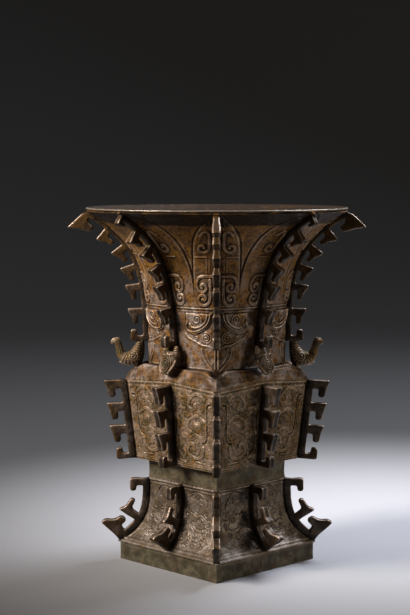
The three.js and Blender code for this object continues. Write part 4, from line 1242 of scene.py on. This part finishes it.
# %% Floor plate
floor_plate = bpy.data.objects["floor_plate"]
floor_plate.data.materials.clear()
floor_plate.data.materials.append(BRONZE["dark_bronze"])
print("floor plate material:", floor_plate.data.materials[0].name)

# %% [markdown]
# ## Flanges
#
# Eight flanges stand on each stage. A flange is a thick plate cast with the wall: a web along it, and
# claws that reach out and turn down, with one turned up at the lower end. Under the rim a corner's flange
# ends in a long beak and a side's in a small nub, and every flange of the foot ends in a broad beak. The
# outline is laid off along the wall's own curve, so the neck's flanges bend out with the trumpet. Each
# side of the plate is filled with a mesh of triangles, which also tells every point how far it is from
# the edge: that rounds the edge over. The claws thicken towards their tips. Hands rub the edges of the
# tips pale, and the upper edges are rubbed pale and carry a painted highlight as well, as light from
# above would catch them. The ends that face outwards and the root at the wall are darkened as painted
# shade.

# %% Flange outlines
WEB, ROOT = 6.0, -1.4
DOWN, UP = -1, 1
# a claw's outline: how far out from the wall, and how far along it in the claw's own turn
NECK_CLAW = [(WEB, 0), (21, -0.7), (20.6, 2.8), (18.6, 6.4), (16.8, 9.6), (16.4, 16.8), (11.2, 16.8),
             (11, 8.2), (WEB, 7.8)]
NECK_CLAWS_BELOW_TOP = (24, 50.5, 76, 99, 126.5)
BODY_CLAW = [(WEB, 0), (22.8, -1.2), (22.6, 1.4), (20.2, 9.4), (19.4, 18), (12.6, 18), (12.4, 9.4),
             (WEB, 9.4)]
END_CLAW = [(WEB, 0), (19.5, 0.6), (19.4, 6.4), (18.6, 13.2), (12.4, 13.2), (12.2, 6.4), (WEB, 6.4)]
RIM_BEAK = [(WEB, -6), (25.6, -12.8), (24.4, -9.8), (20.8, 0.5), (18.6, 10.5), (16, 12.6), (11.2, 11.6),
            (10.6, 6.4), (8.6, 3.6), (WEB, 3)]
RIM_NUB = [(WEB, -1), (11.4, -1.4), (12, 1.4), (10.6, 8.5), (7.4, 8.5), (7.2, 4.5), (WEB, 4.5)]
FOOT_HOOK = [(WEB, 1.4), (13.8, 0.5), (19.8, 1), (19.7, 14.8), (13.2, 14.8), (13, 8.8), (WEB, 8.8)]
FOOT_THORN = [(WEB, -0.4), (26.2, -1.3), (25.4, 1.6), (22.8, 5), (22.6, 11), (22.8, 16), (20.5, 17.8),
              (17.4, 16.8), (16.2, 9.4), (14, 7.6), (WEB, 7.6)]
FOOT_BEAK = [(WEB, -1), (26.6, -7.2), (27, -1), (23.2, 3.5), (21.2, 9), (21.6, 14.5), (18, 17.4),
             (13.8, 17), (12.6, 12), (11.4, 9.6), (WEB, 10.3)]
WEB_STEP = 3.0
PLACE_STEP = 0.5


def placed(track, distance, out, along):
    climbed = lengths_along(track)
    ends = np.clip([distance - PLACE_STEP, distance + PLACE_STEP], 0, climbed[-1])
    low, high = (np.array([np.interp(end, climbed, track[:, axis]) for axis in (0, 1)]) for end in ends)
    way = (high - low) / np.linalg.norm(high - low)
    here = np.array([np.interp(distance, climbed, track[:, axis]) for axis in (0, 1)])
    return here + out * np.array([way[1], -way[0]]) + along * way


def claw_outline(track, distance, turn, claw):
    spots = [placed(track, distance, out, turn * across) for out, across in claw]
    return spots if turn == DOWN else spots[::-1]


def flange_outline(track, bottom, top, claws):
    # up along the root inside the wall, then down the outer edge through the claws
    root = np.linspace(bottom, top, max(int((top - bottom) / WEB_STEP), 2))
    outline = [placed(track, distance, ROOT, 0) for distance in root]
    at = top
    for distance, turn, claw in claws:
        begin, end = (distance + turn * across for out, across in (claw[0], claw[-1])[::-turn])
        between = np.arange(at - WEB_STEP, begin + WEB_STEP / 2, -WEB_STEP)
        outline += [placed(track, step, WEB, 0) for step in between]
        outline += claw_outline(track, distance, turn, claw)
        at = end
    return np.array(outline)


print("corners of a neck claw:", len(NECK_CLAW))

# %% Flange plates
FLANGE_THICK = 7.0
FLANGE_ROUND = 1.5
FLANGE_CORNER = {"neck": 2.2, "body": 2.8, "foot": 3.4}
TIP_THICKER, TIP_FROM, TIP_TO = 0.22, 8.0, 20.0
OUTLINE_STEP, INNER_STEP = 1.2, 2.2
INSETS, INSET_KEPT = (0.2, 0.6, 1.3), 0.9
SAME_POINT = 1e-5
# painted light on the flanges: upper edges get a painted highlight on top of their wear, and the root at
# the wall and the outward end faces get painted shade
EDGE_WEAR, ROOT_DARK, ROOT_CLEAR = 1.8, 0.5, 8.0
PLAIN_WORN, ROOT_SHADE, UPPER_EDGE_WEAR_AND_HIGHLIGHT, TIP_WORN = 0.45, 0.3, 0.6, 0.3
END_ROWS, END_FACE_SHADE, END_SHARE = 0.8, 0.2, 0.2
UPWARD = (0.1, 0.7)
FAR_SIDE = np.array((1, -1, 1))


def depth_in(outline, points):
    return distance_to(np.concatenate([outline, outline[:1]]), points[:, 0], points[:, 1])


def within(outline, points):
    inside = np.zeros(len(points), dtype=bool)
    for (x0, y0), (x1, y1) in zip(outline, np.roll(outline, -1, axis=0)):
        crosses = (y0 > points[:, 1]) != (y1 > points[:, 1])
        meets = x0 + (points[:, 1] - y0) * (x1 - x0) / (y1 - y0 if y1 != y0 else TINY)
        inside ^= crosses & (points[:, 0] < meets)
    return inside


def filled(outline):
    tangent = np.roll(outline, -1, axis=0) - np.roll(outline, 1, axis=0)
    inward = np.stack([-tangent[:, 1], tangent[:, 0]], axis=1) / np.linalg.norm(tangent, axis=1)[:, None]
    area = (outline[:, 0] * np.roll(outline[:, 1], -1) - outline[:, 1] * np.roll(outline[:, 0], -1)).sum()
    inward = inward * np.sign(area)
    extra = [outline + inset * inward for inset in INSETS]
    low, high = outline.min(axis=0), outline.max(axis=0)
    spread = np.meshgrid(*[np.arange(a, b, INNER_STEP) for a, b in zip(low, high)])
    spread = np.stack(spread, axis=-1).reshape(-1, 2)
    limits = [INSET_KEPT * inset for inset in INSETS] + [INSETS[-1] + INNER_STEP / 3]
    kept = [outline]
    for points, limit in zip(extra + [spread], limits):
        points = points[within(outline, points)]
        kept.append(points[depth_in(outline, points) > limit])
    points = np.concatenate(kept)
    border = list(range(len(outline)))
    result = delaunay_2d_cdt([Vector(point) for point in points], [], [border], 1, SAME_POINT)
    return np.array([tuple(point) for point in result[0]]), [tuple(face) for face in result[2]]


def upward_edge(outline, points):
    tangent = np.roll(outline, -1, axis=0) - np.roll(outline, 1, axis=0)
    facing_up = tangent[:, 0] / np.linalg.norm(tangent, axis=1)
    nearest = ((points[:, None] - outline[None]) ** 2).sum(axis=2).argmin(axis=1)
    return ramp(facing_up[nearest], *UPWARD)


def turned_alike(points, faces):
    first, second, third = points[np.array(faces)].transpose(1, 0, 2)
    left = ((second - first) * (third - first)[:, ::-1] * (1, -1)).sum(axis=1) > 0
    faces = [face if way else face[::-1] for face, way in zip(faces, left)]
    edges = dict.fromkeys(edge for face in faces for edge in zip(face, face[1:] + face[:1]))
    rim = [(start, end) for start, end in edges if (end, start) not in edges]
    return faces, rim, sorted({index for edge in rim for index in edge})


def end_faces(rim, ends, count):
    # from the near side over two rows of points to the far side
    row = {index: 2 * count + place for place, index in enumerate(ends)}
    made = []
    for start, end in rim:
        made.append((end, start, row[start], row[end]))
        made.append((row[end], row[start], row[start] + len(ends), row[end] + len(ends)))
        made.append((row[end] + len(ends), row[start] + len(ends), start + count, end + count))
    return made


def plate_mesh(name, outline, track):
    outline = stepped(rounded(outline, FLANGE_CORNER[name]), OUTLINE_STEP)
    points, faces = filled(outline)
    depth = depth_in(outline, points)
    out = distance_to(track, points[:, 0], points[:, 1])
    tip = ramp(out, TIP_FROM, TIP_TO)
    over = np.clip(FLANGE_ROUND - depth, 0, FLANGE_ROUND)
    half = FLANGE_THICK / 2 * (1 + TIP_THICKER * tip)
    half = half - FLANGE_ROUND + np.sqrt(FLANGE_ROUND ** 2 - over ** 2)
    faces, rim, ends = turned_alike(points, faces)
    near = np.stack([points[:, 0], -half, points[:, 1]], axis=1)
    middle = near[ends] * (1, END_ROWS, 1)
    skin_points = [part * side for part in (near, middle) for side in (1, FAR_SIDE)]
    far_faces = [tuple(index + len(points) for index in face[::-1]) for face in faces]
    made = mesh_of(name, np.concatenate(skin_points) * MM,
                   faces + far_faces + end_faces(rim, ends, len(points)))
    # painted shade at the root and on the end faces, painted highlight with the wear on the upper edges
    clear = ramp(out, ROOT_DARK, ROOT_CLEAR)
    edge = (1 - ramp(depth, 0, EDGE_WEAR)) * clear
    rubbed_and_lit = UPPER_EDGE_WEAR_AND_HIGHLIGHT * upward_edge(outline, points) + TIP_WORN * tip
    wear_and_painted_light = PLAIN_WORN - ROOT_SHADE * (1 - clear) + edge * rubbed_and_lit
    upper = upward_edge(outline, points[ends])
    end_faces_shaded = END_FACE_SHADE + (wear_and_painted_light[ends] - END_FACE_SHADE) * END_SHARE * upper
    set_worn(made, np.concatenate([wear_and_painted_light, wear_and_painted_light, end_faces_shaded, end_faces_shaded]))
    return made


print("flange thickness in mm:", FLANGE_THICK)

# %% Flange rings
STEP_ROWS = 60
NECK_FLANGE_BOTTOM, NECK_BELOW_RIM = 24, 3
BODY_FLANGE_GAP, BODY_CLAWS, BODY_CLAW_PITCH = 0.3, 3, 24.5
FOOT_FLANGE_GAP, FOOT_THORN_UP = 1, 30
SIDES = ("right", "back", "left", "front")


def stage_track(bottom, rise, bottom_half, top_half, power, corner):
    way_up = np.linspace(0, 1, STEP_ROWS)
    half = top_half + (bottom_half - top_half) * (1 - way_up) ** power
    return np.stack([half * (math.sqrt(2) if corner else 1), bottom + rise * way_up], axis=1)


def flange_ring(stage, corner, track, bottom, top, claws):
    names = CORNERS if corner else SIDES
    plate = plate_mesh(stage, flange_outline(track, bottom, top, claws), track)
    castings(stage + ("_flanges_on_corners" if corner else "_flanges_on_sides"), plate, len(names),
             QUARTER / 2 if corner else 0.0, "dark_bronze", [stage + "_flange_" + name for name in names])


for corner in (True, False):
    track = neck_track(QUARTER / 2 if corner else 0.0)
    top = lengths_along(track)[-1] - NECK_BELOW_RIM
    neck_claws = [(top, DOWN, RIM_BEAK if corner else RIM_NUB)]
    neck_claws += [(top - below, DOWN, NECK_CLAW) for below in NECK_CLAWS_BELOW_TOP]
    neck_claws.append((NECK_FLANGE_BOTTOM, UP, END_CLAW))
    flange_ring("neck", corner, track, NECK_FLANGE_BOTTOM, top, neck_claws)

    track = stage_track(
        BODY_BOTTOM, BODY_RISE, BODY_TOP_HALF + BODY_SPREAD, BODY_TOP_HALF, BODY_POWER, corner)
    top = lengths_along(track)[-1] - BODY_FLANGE_GAP
    body_claws = [(top - BODY_CLAW_PITCH * number, DOWN, BODY_CLAW) for number in range(BODY_CLAWS)]
    body_claws.append((BODY_FLANGE_GAP, UP, END_CLAW))
    flange_ring("body", corner, track, BODY_FLANGE_GAP, top, body_claws)

    track = stage_track(
        FOOT_BOTTOM, FOOT_RISE, FOOT_TOP_HALF + FOOT_SPREAD, FOOT_TOP_HALF, FOOT_POWER, corner)
    top = lengths_along(track)[-1] - FOOT_FLANGE_GAP
    foot_claws = [(top, DOWN, FOOT_HOOK), (FOOT_THORN_UP, UP, FOOT_THORN)]
    foot_claws.append((FOOT_FLANGE_GAP, UP, FOOT_BEAK))
    flange_ring("foot", corner, track, FOOT_FLANGE_GAP, top, foot_claws)

# %% [markdown]
# ## Beasts' heads
#
# On each side a beast's head leans out from the foot of the neck, over the gable. It is a hood with a
# rounded snout, a whorl cut into its face, a brow over two round eyes, ridges down its cheeks and two
# blunt horns. All of these are limbs: an oval section carried along a curved line, blunt at both ends. A
# limb's skin can take relief too, as a height for every place round and along it.

# %% Limbs
LIMB_COLUMNS, LIMB_ROWS = 24, 22


def limb(stations, wide=(0, 1, 0), columns=LIMB_COLUMNS, rows=LIMB_ROWS, relief=None):
    # a station: out, side and up, then half the section's depth and half its width
    line = curve(*stations)
    along = lengths_along(line[:, :3])
    steps = np.linspace(0, along[-1], rows)
    line = np.stack([np.interp(steps, along, line[:, axis]) for axis in range(5)], axis=1)
    way = np.gradient(line[:, :3], axis=0)
    way /= np.linalg.norm(way, axis=1)[:, None]
    side = np.array(wide) - (way @ np.array(wide))[:, None] * way
    side /= np.linalg.norm(side, axis=1)[:, None]
    front = np.cross(way, side)
    blunt = np.minimum(steps / line[0, 3:].mean(), (steps[-1] - steps) / line[-1, 3:].mean())
    blunt = np.sqrt(1 - (1 - np.clip(blunt, 0, 1)) ** 2)
    angle = np.arange(columns) * 2 * math.pi / columns
    cosine, sine = np.cos(angle)[None, :, None], np.sin(angle)[None, :, None]
    depth = line[:, None, 3:4] * blunt[:, None, None]
    width = line[:, None, 4:5] * blunt[:, None, None]
    ring = line[:, None, :3] + depth * cosine * front[:, None] + width * sine * side[:, None]
    if relief:
        outwards = cosine * front[:, None] * line[:, None, 4:5]
        outwards = outwards + sine * side[:, None] * line[:, None, 3:4]
        outwards /= np.linalg.norm(outwards, axis=2)[:, :, None]
        places = np.broadcast_arrays(angle[None, :], steps[:, None])
        lift = relief(ring, *places) * blunt[:, None]
        ring = ring + lift[:, :, None] * outwards
    skin = ring[1:-1]
    points = np.concatenate([line[:1, :3], skin.reshape(-1, 3), line[-1:, :3]])
    last = len(points) - 1
    faces = []
    for row in range(rows - 3):
        for column in range(columns):
            here, after = 1 + row * columns + column, 1 + row * columns + (column + 1) % columns
            faces.append((here, here + columns, after + columns, after))
    for column in range(columns):
        after = (column + 1) % columns
        faces.append((0, 1 + column, 1 + after))
        faces.append((last, last - columns + after, last - columns + column))
    return points, faces


def joined(name, limbs):
    points, faces = [], []
    for limb_points, limb_faces in limbs:
        start = sum(len(part) for part in points)
        points.append(limb_points)
        faces += [tuple(index + start for index in face) for face in limb_faces]
    return mesh_of(name, np.concatenate(points) * MM, faces)


def both_sides(stations, **values):
    mirrored = [(out, -side, up, depth, width) for out, side, up, depth, width in stations]
    return [limb(stations, **values), limb(mirrored, **values)]


print("points of a plain limb:", len(limb([(0, 0, 0, 1, 1), (0, 0, 9, 1, 1)])[0]))

# %% Masks
HOOD = [(61.5, 0, 234.5, 3.0, 7.6), (65, 0, 232.4, 4.6, 10.4), (67.6, 0, 228, 5.0, 11.2),
        (69.6, 0, 222, 5.4, 10.4), (71.6, 0, 216.5, 5.4, 8.6), (73, 0, 211.5, 4.6, 6.2),
        (73.6, 0, 207.0, 2.8, 3.6)]
HORN = [(63.5, 7.0, 225, 2.9, 3.2), (67.0, 8.0, 230.5, 2.7, 3.2), (68.0, 8.8, 234.4, 2.2, 3.0),
        (67.4, 9.6, 237.6, 1.6, 2.4)]
HORN_RING, HORN_RING_RISE = 1.9, 0.3
BROW = [(68.5, 9.4, 226.5, 1.3, 1.3), (71.6, 7.0, 228.6, 1.5, 1.5), (73.2, 3.6, 228.4, 1.5, 1.5),
        (73.2, 0.8, 226.8, 1.3, 1.3)]
EYE = [(69.8, 5.0, 226.0, 2.1, 2.1), (72.6, 5.4, 225.8, 2.1, 2.1)]
CHEEK = [(69.6, 9.9, 223.4, 1.3, 1.3), (72.6, 9.7, 218, 1.4, 1.4), (75.4, 7.4, 212.6, 1.4, 1.4),
         (76.2, 4.0, 208.6, 1.3, 1.3)]
CREST = [(64.4, 0, 236.0, 1.5, 1.7), (69, 0, 232.5, 1.6, 1.9), (72.8, 0, 228.0, 1.4, 1.6)]
MASK_DULL = 0.32
WHORL_UP, WHORL_PITCH, WHORL_RISE, WHORL_REACH, WHORL_TALL = 218.0, 1.8, 0.6, 9.5, 1.35
WHORL_FADE, WHORL_FACING = 1.5, 0.4
HOOD_COLUMNS, HOOD_ROWS, HORN_ROWS = 112, 88, 40


def whorl(ring, angle, along):
    across, up = ring[:, :, 1], (ring[:, :, 2] - WHORL_UP) / WHORL_TALL
    away = np.hypot(across, up)
    turn = np.arctan2(up, across) / (2 * math.pi)
    lines = wave(2 * math.pi * (away / WHORL_PITCH - turn))
    faded = WHORL_RISE * lines * ramp(WHORL_REACH - away, 0, WHORL_FADE)
    return faded * ramp(np.cos(angle), 0, WHORL_FACING)


def horn_rings(ring, angle, along):
    return HORN_RING_RISE * np.cos(2 * math.pi * along / HORN_RING)


mask = joined("mask", [
    limb(HOOD, columns=HOOD_COLUMNS, rows=HOOD_ROWS, relief=whorl), limb(CREST),
    *both_sides(HORN, rows=HORN_ROWS, relief=horn_rings),
    *both_sides(BROW, wide=(1, 0, 0)), *both_sides(EYE, wide=(0, 0, 1)), *both_sides(CHEEK)])
set_worn(mask, measured_wear(mask, WEAR_FULL) - MASK_DULL)
castings("masks", mask, len(SIDES), 0.0, "olive_bronze", ["mask_" + name for name in SIDES])

# %% [markdown]
# ## Birds
#
# A bird stands on two opposite corners of the shoulder. One limb makes it, from the raised tail down
# through the body and up the neck to the beak. Scales lie on the tail and the back, a spiral marks each
# wing, flutes run up the neck, and a pointed keel, a leg and a flat strut behind the tail hold it to the
# casting. The side that faces the neck is darkened as painted shade, and the strut is painted almost
# black as shade.

# %% Birds
BIRD = [(81.8, 0, 237.5, 3.2, 4.2), (83.5, 0, 229.5, 5.2, 6.4), (86.8, 0, 222.2, 7, 7.8),
        (91.6, 0, 218.9, 7.6, 8), (97, 0, 219, 6.8, 6.8), (102, 0, 222.4, 5.0, 5.0),
        (104.2, 0, 228.4, 3.7, 3.8), (105.6, 0, 233.4, 3.3, 3.3),
        (108, 0, 236.8, 3.4, 3.2), (110.8, 0, 236.2, 2.5, 2.2), (112.6, 0, 233.8, 1.1, 1.0)]
SCALE, SCALE_RISE, SCALE_ROUND, SCALE_EDGE = 2.6, 0.5, 0.5, 0.28
BIRD_GIRTH = 6.5
SCALES_TO, FLUTES_FROM, FLUTES_FULL, FLUTES_TO, FADE = 33.0, 34.0, 38.0, 56.0, 3.0
FLUTES, FLUTE_RISE = 12, 0.5
WING_OUT, WING_UP, WING_REACH = 89.5, 221.5, 6.2
WING = spiral(WING_OUT, WING_UP, 5.2, 0.8, 1.9, start=150)
WING_BAND, WING_RISE, WING_EDGES, WING_FADE, WING_FACING = 1.7, 0.8, (-0.35, 0.6), 0.8, (0.45, 0.7)
BIRD_EYE = [(107.8, 2.4, 237.4, 1.0, 1.0), (108, 3.6, 237.5, 1.0, 1.0)]
BIRD_CREST = [(104.2, 0, 236.4, 0.9, 0.8), (105, 0, 239.4, 1.2, 0.9), (107.8, 0, 240.4, 1.0, 0.8)]
KEEL = [(93.5, 0, 213.6, 2.6, 3.2), (99, 0, 213.6, 2.0, 2.4), (104.6, 0, 214.6, 0.8, 0.8)]
LEG = [(87.5, 0, 219, 4.0, 4.2), (86.2, 0, 212, 3.2, 3.4), (85.2, 0, 206, 3.4, 3.6),
       (84.8, 0, 201.6, 4.6, 4.8)]
STRUT = [(80.0, 0, 240.5, 2.0, 3.8), (79.8, 0, 232, 2.6, 4.2), (81.0, 0, 221, 3.0, 4.2),
         (83.6, 0, 210, 2.6, 4.0), (84.6, 0, 203, 2.6, 3.8)]
# painted shade: the strut almost black, and the bird darker towards the neck
STRUT_SHADE = 0.05
BACK_SHADE, BACK_SHADE_FROM, BACK_SHADE_FADE = 0.5, 84.0, 4.0
BIRD_COLUMNS, BIRD_ROWS = 96, 150
BIRD_CORNERS = ("back_right", "front_left")


def plumage(ring, angle, along):
    around = (angle - math.pi) * BIRD_GIRTH
    row = np.floor(along / SCALE)
    x = (around / SCALE + 0.5 * (row % 2)) % 1 - 0.5
    y = (along / SCALE) % 1
    scales = dome((np.hypot(x, 1 - y) - SCALE_ROUND) / SCALE_EDGE)
    height = SCALE_RISE * scales * ramp(SCALES_TO - along, 0, FADE)
    flutes = wave(FLUTES * angle)
    fluted = FLUTE_RISE * flutes * ramp(along, FLUTES_FROM, FLUTES_FULL)
    height = height + fluted * ramp(FLUTES_TO - along, 0, FADE)
    on_wing = distance_to(WING, ring[:, :, 0], ring[:, :, 2])
    facing = ramp(np.abs(np.sin(angle)), *WING_FACING)
    spiral_band = WING_RISE * ramp(WING_BAND / 2 - on_wing, *WING_EDGES)
    from_centre = np.hypot(ring[:, :, 0] - WING_OUT, ring[:, :, 2] - WING_UP)
    in_wing = ramp(WING_REACH - from_centre, 0, WING_FADE) * facing
    return height * (1 - in_wing) + spiral_band * in_wing


bird_limbs = [
    limb(BIRD, columns=BIRD_COLUMNS, rows=BIRD_ROWS, relief=plumage),
    *both_sides(BIRD_EYE, wide=(0, 0, 1)), limb(BIRD_CREST), limb(KEEL), limb(LEG)]
bird = joined("bird", bird_limbs + [limb(STRUT)])
# painted shade on the side of the bird that faces the neck
back_shaded = ramp(BACK_SHADE_FROM - points_of(bird)[:, 0] / MM, 0, BACK_SHADE_FADE)
wear_and_painted_light = measured_wear(bird, WEAR_FULL) - BACK_SHADE * back_shaded
wear_and_painted_light[sum(len(points) for points, faces in bird_limbs):] = STRUT_SHADE
set_worn(bird, wear_and_painted_light)
castings("birds", bird, len(BIRD_CORNERS), QUARTER / 2, "olive_bronze",
         ["bird_" + name for name in BIRD_CORNERS])
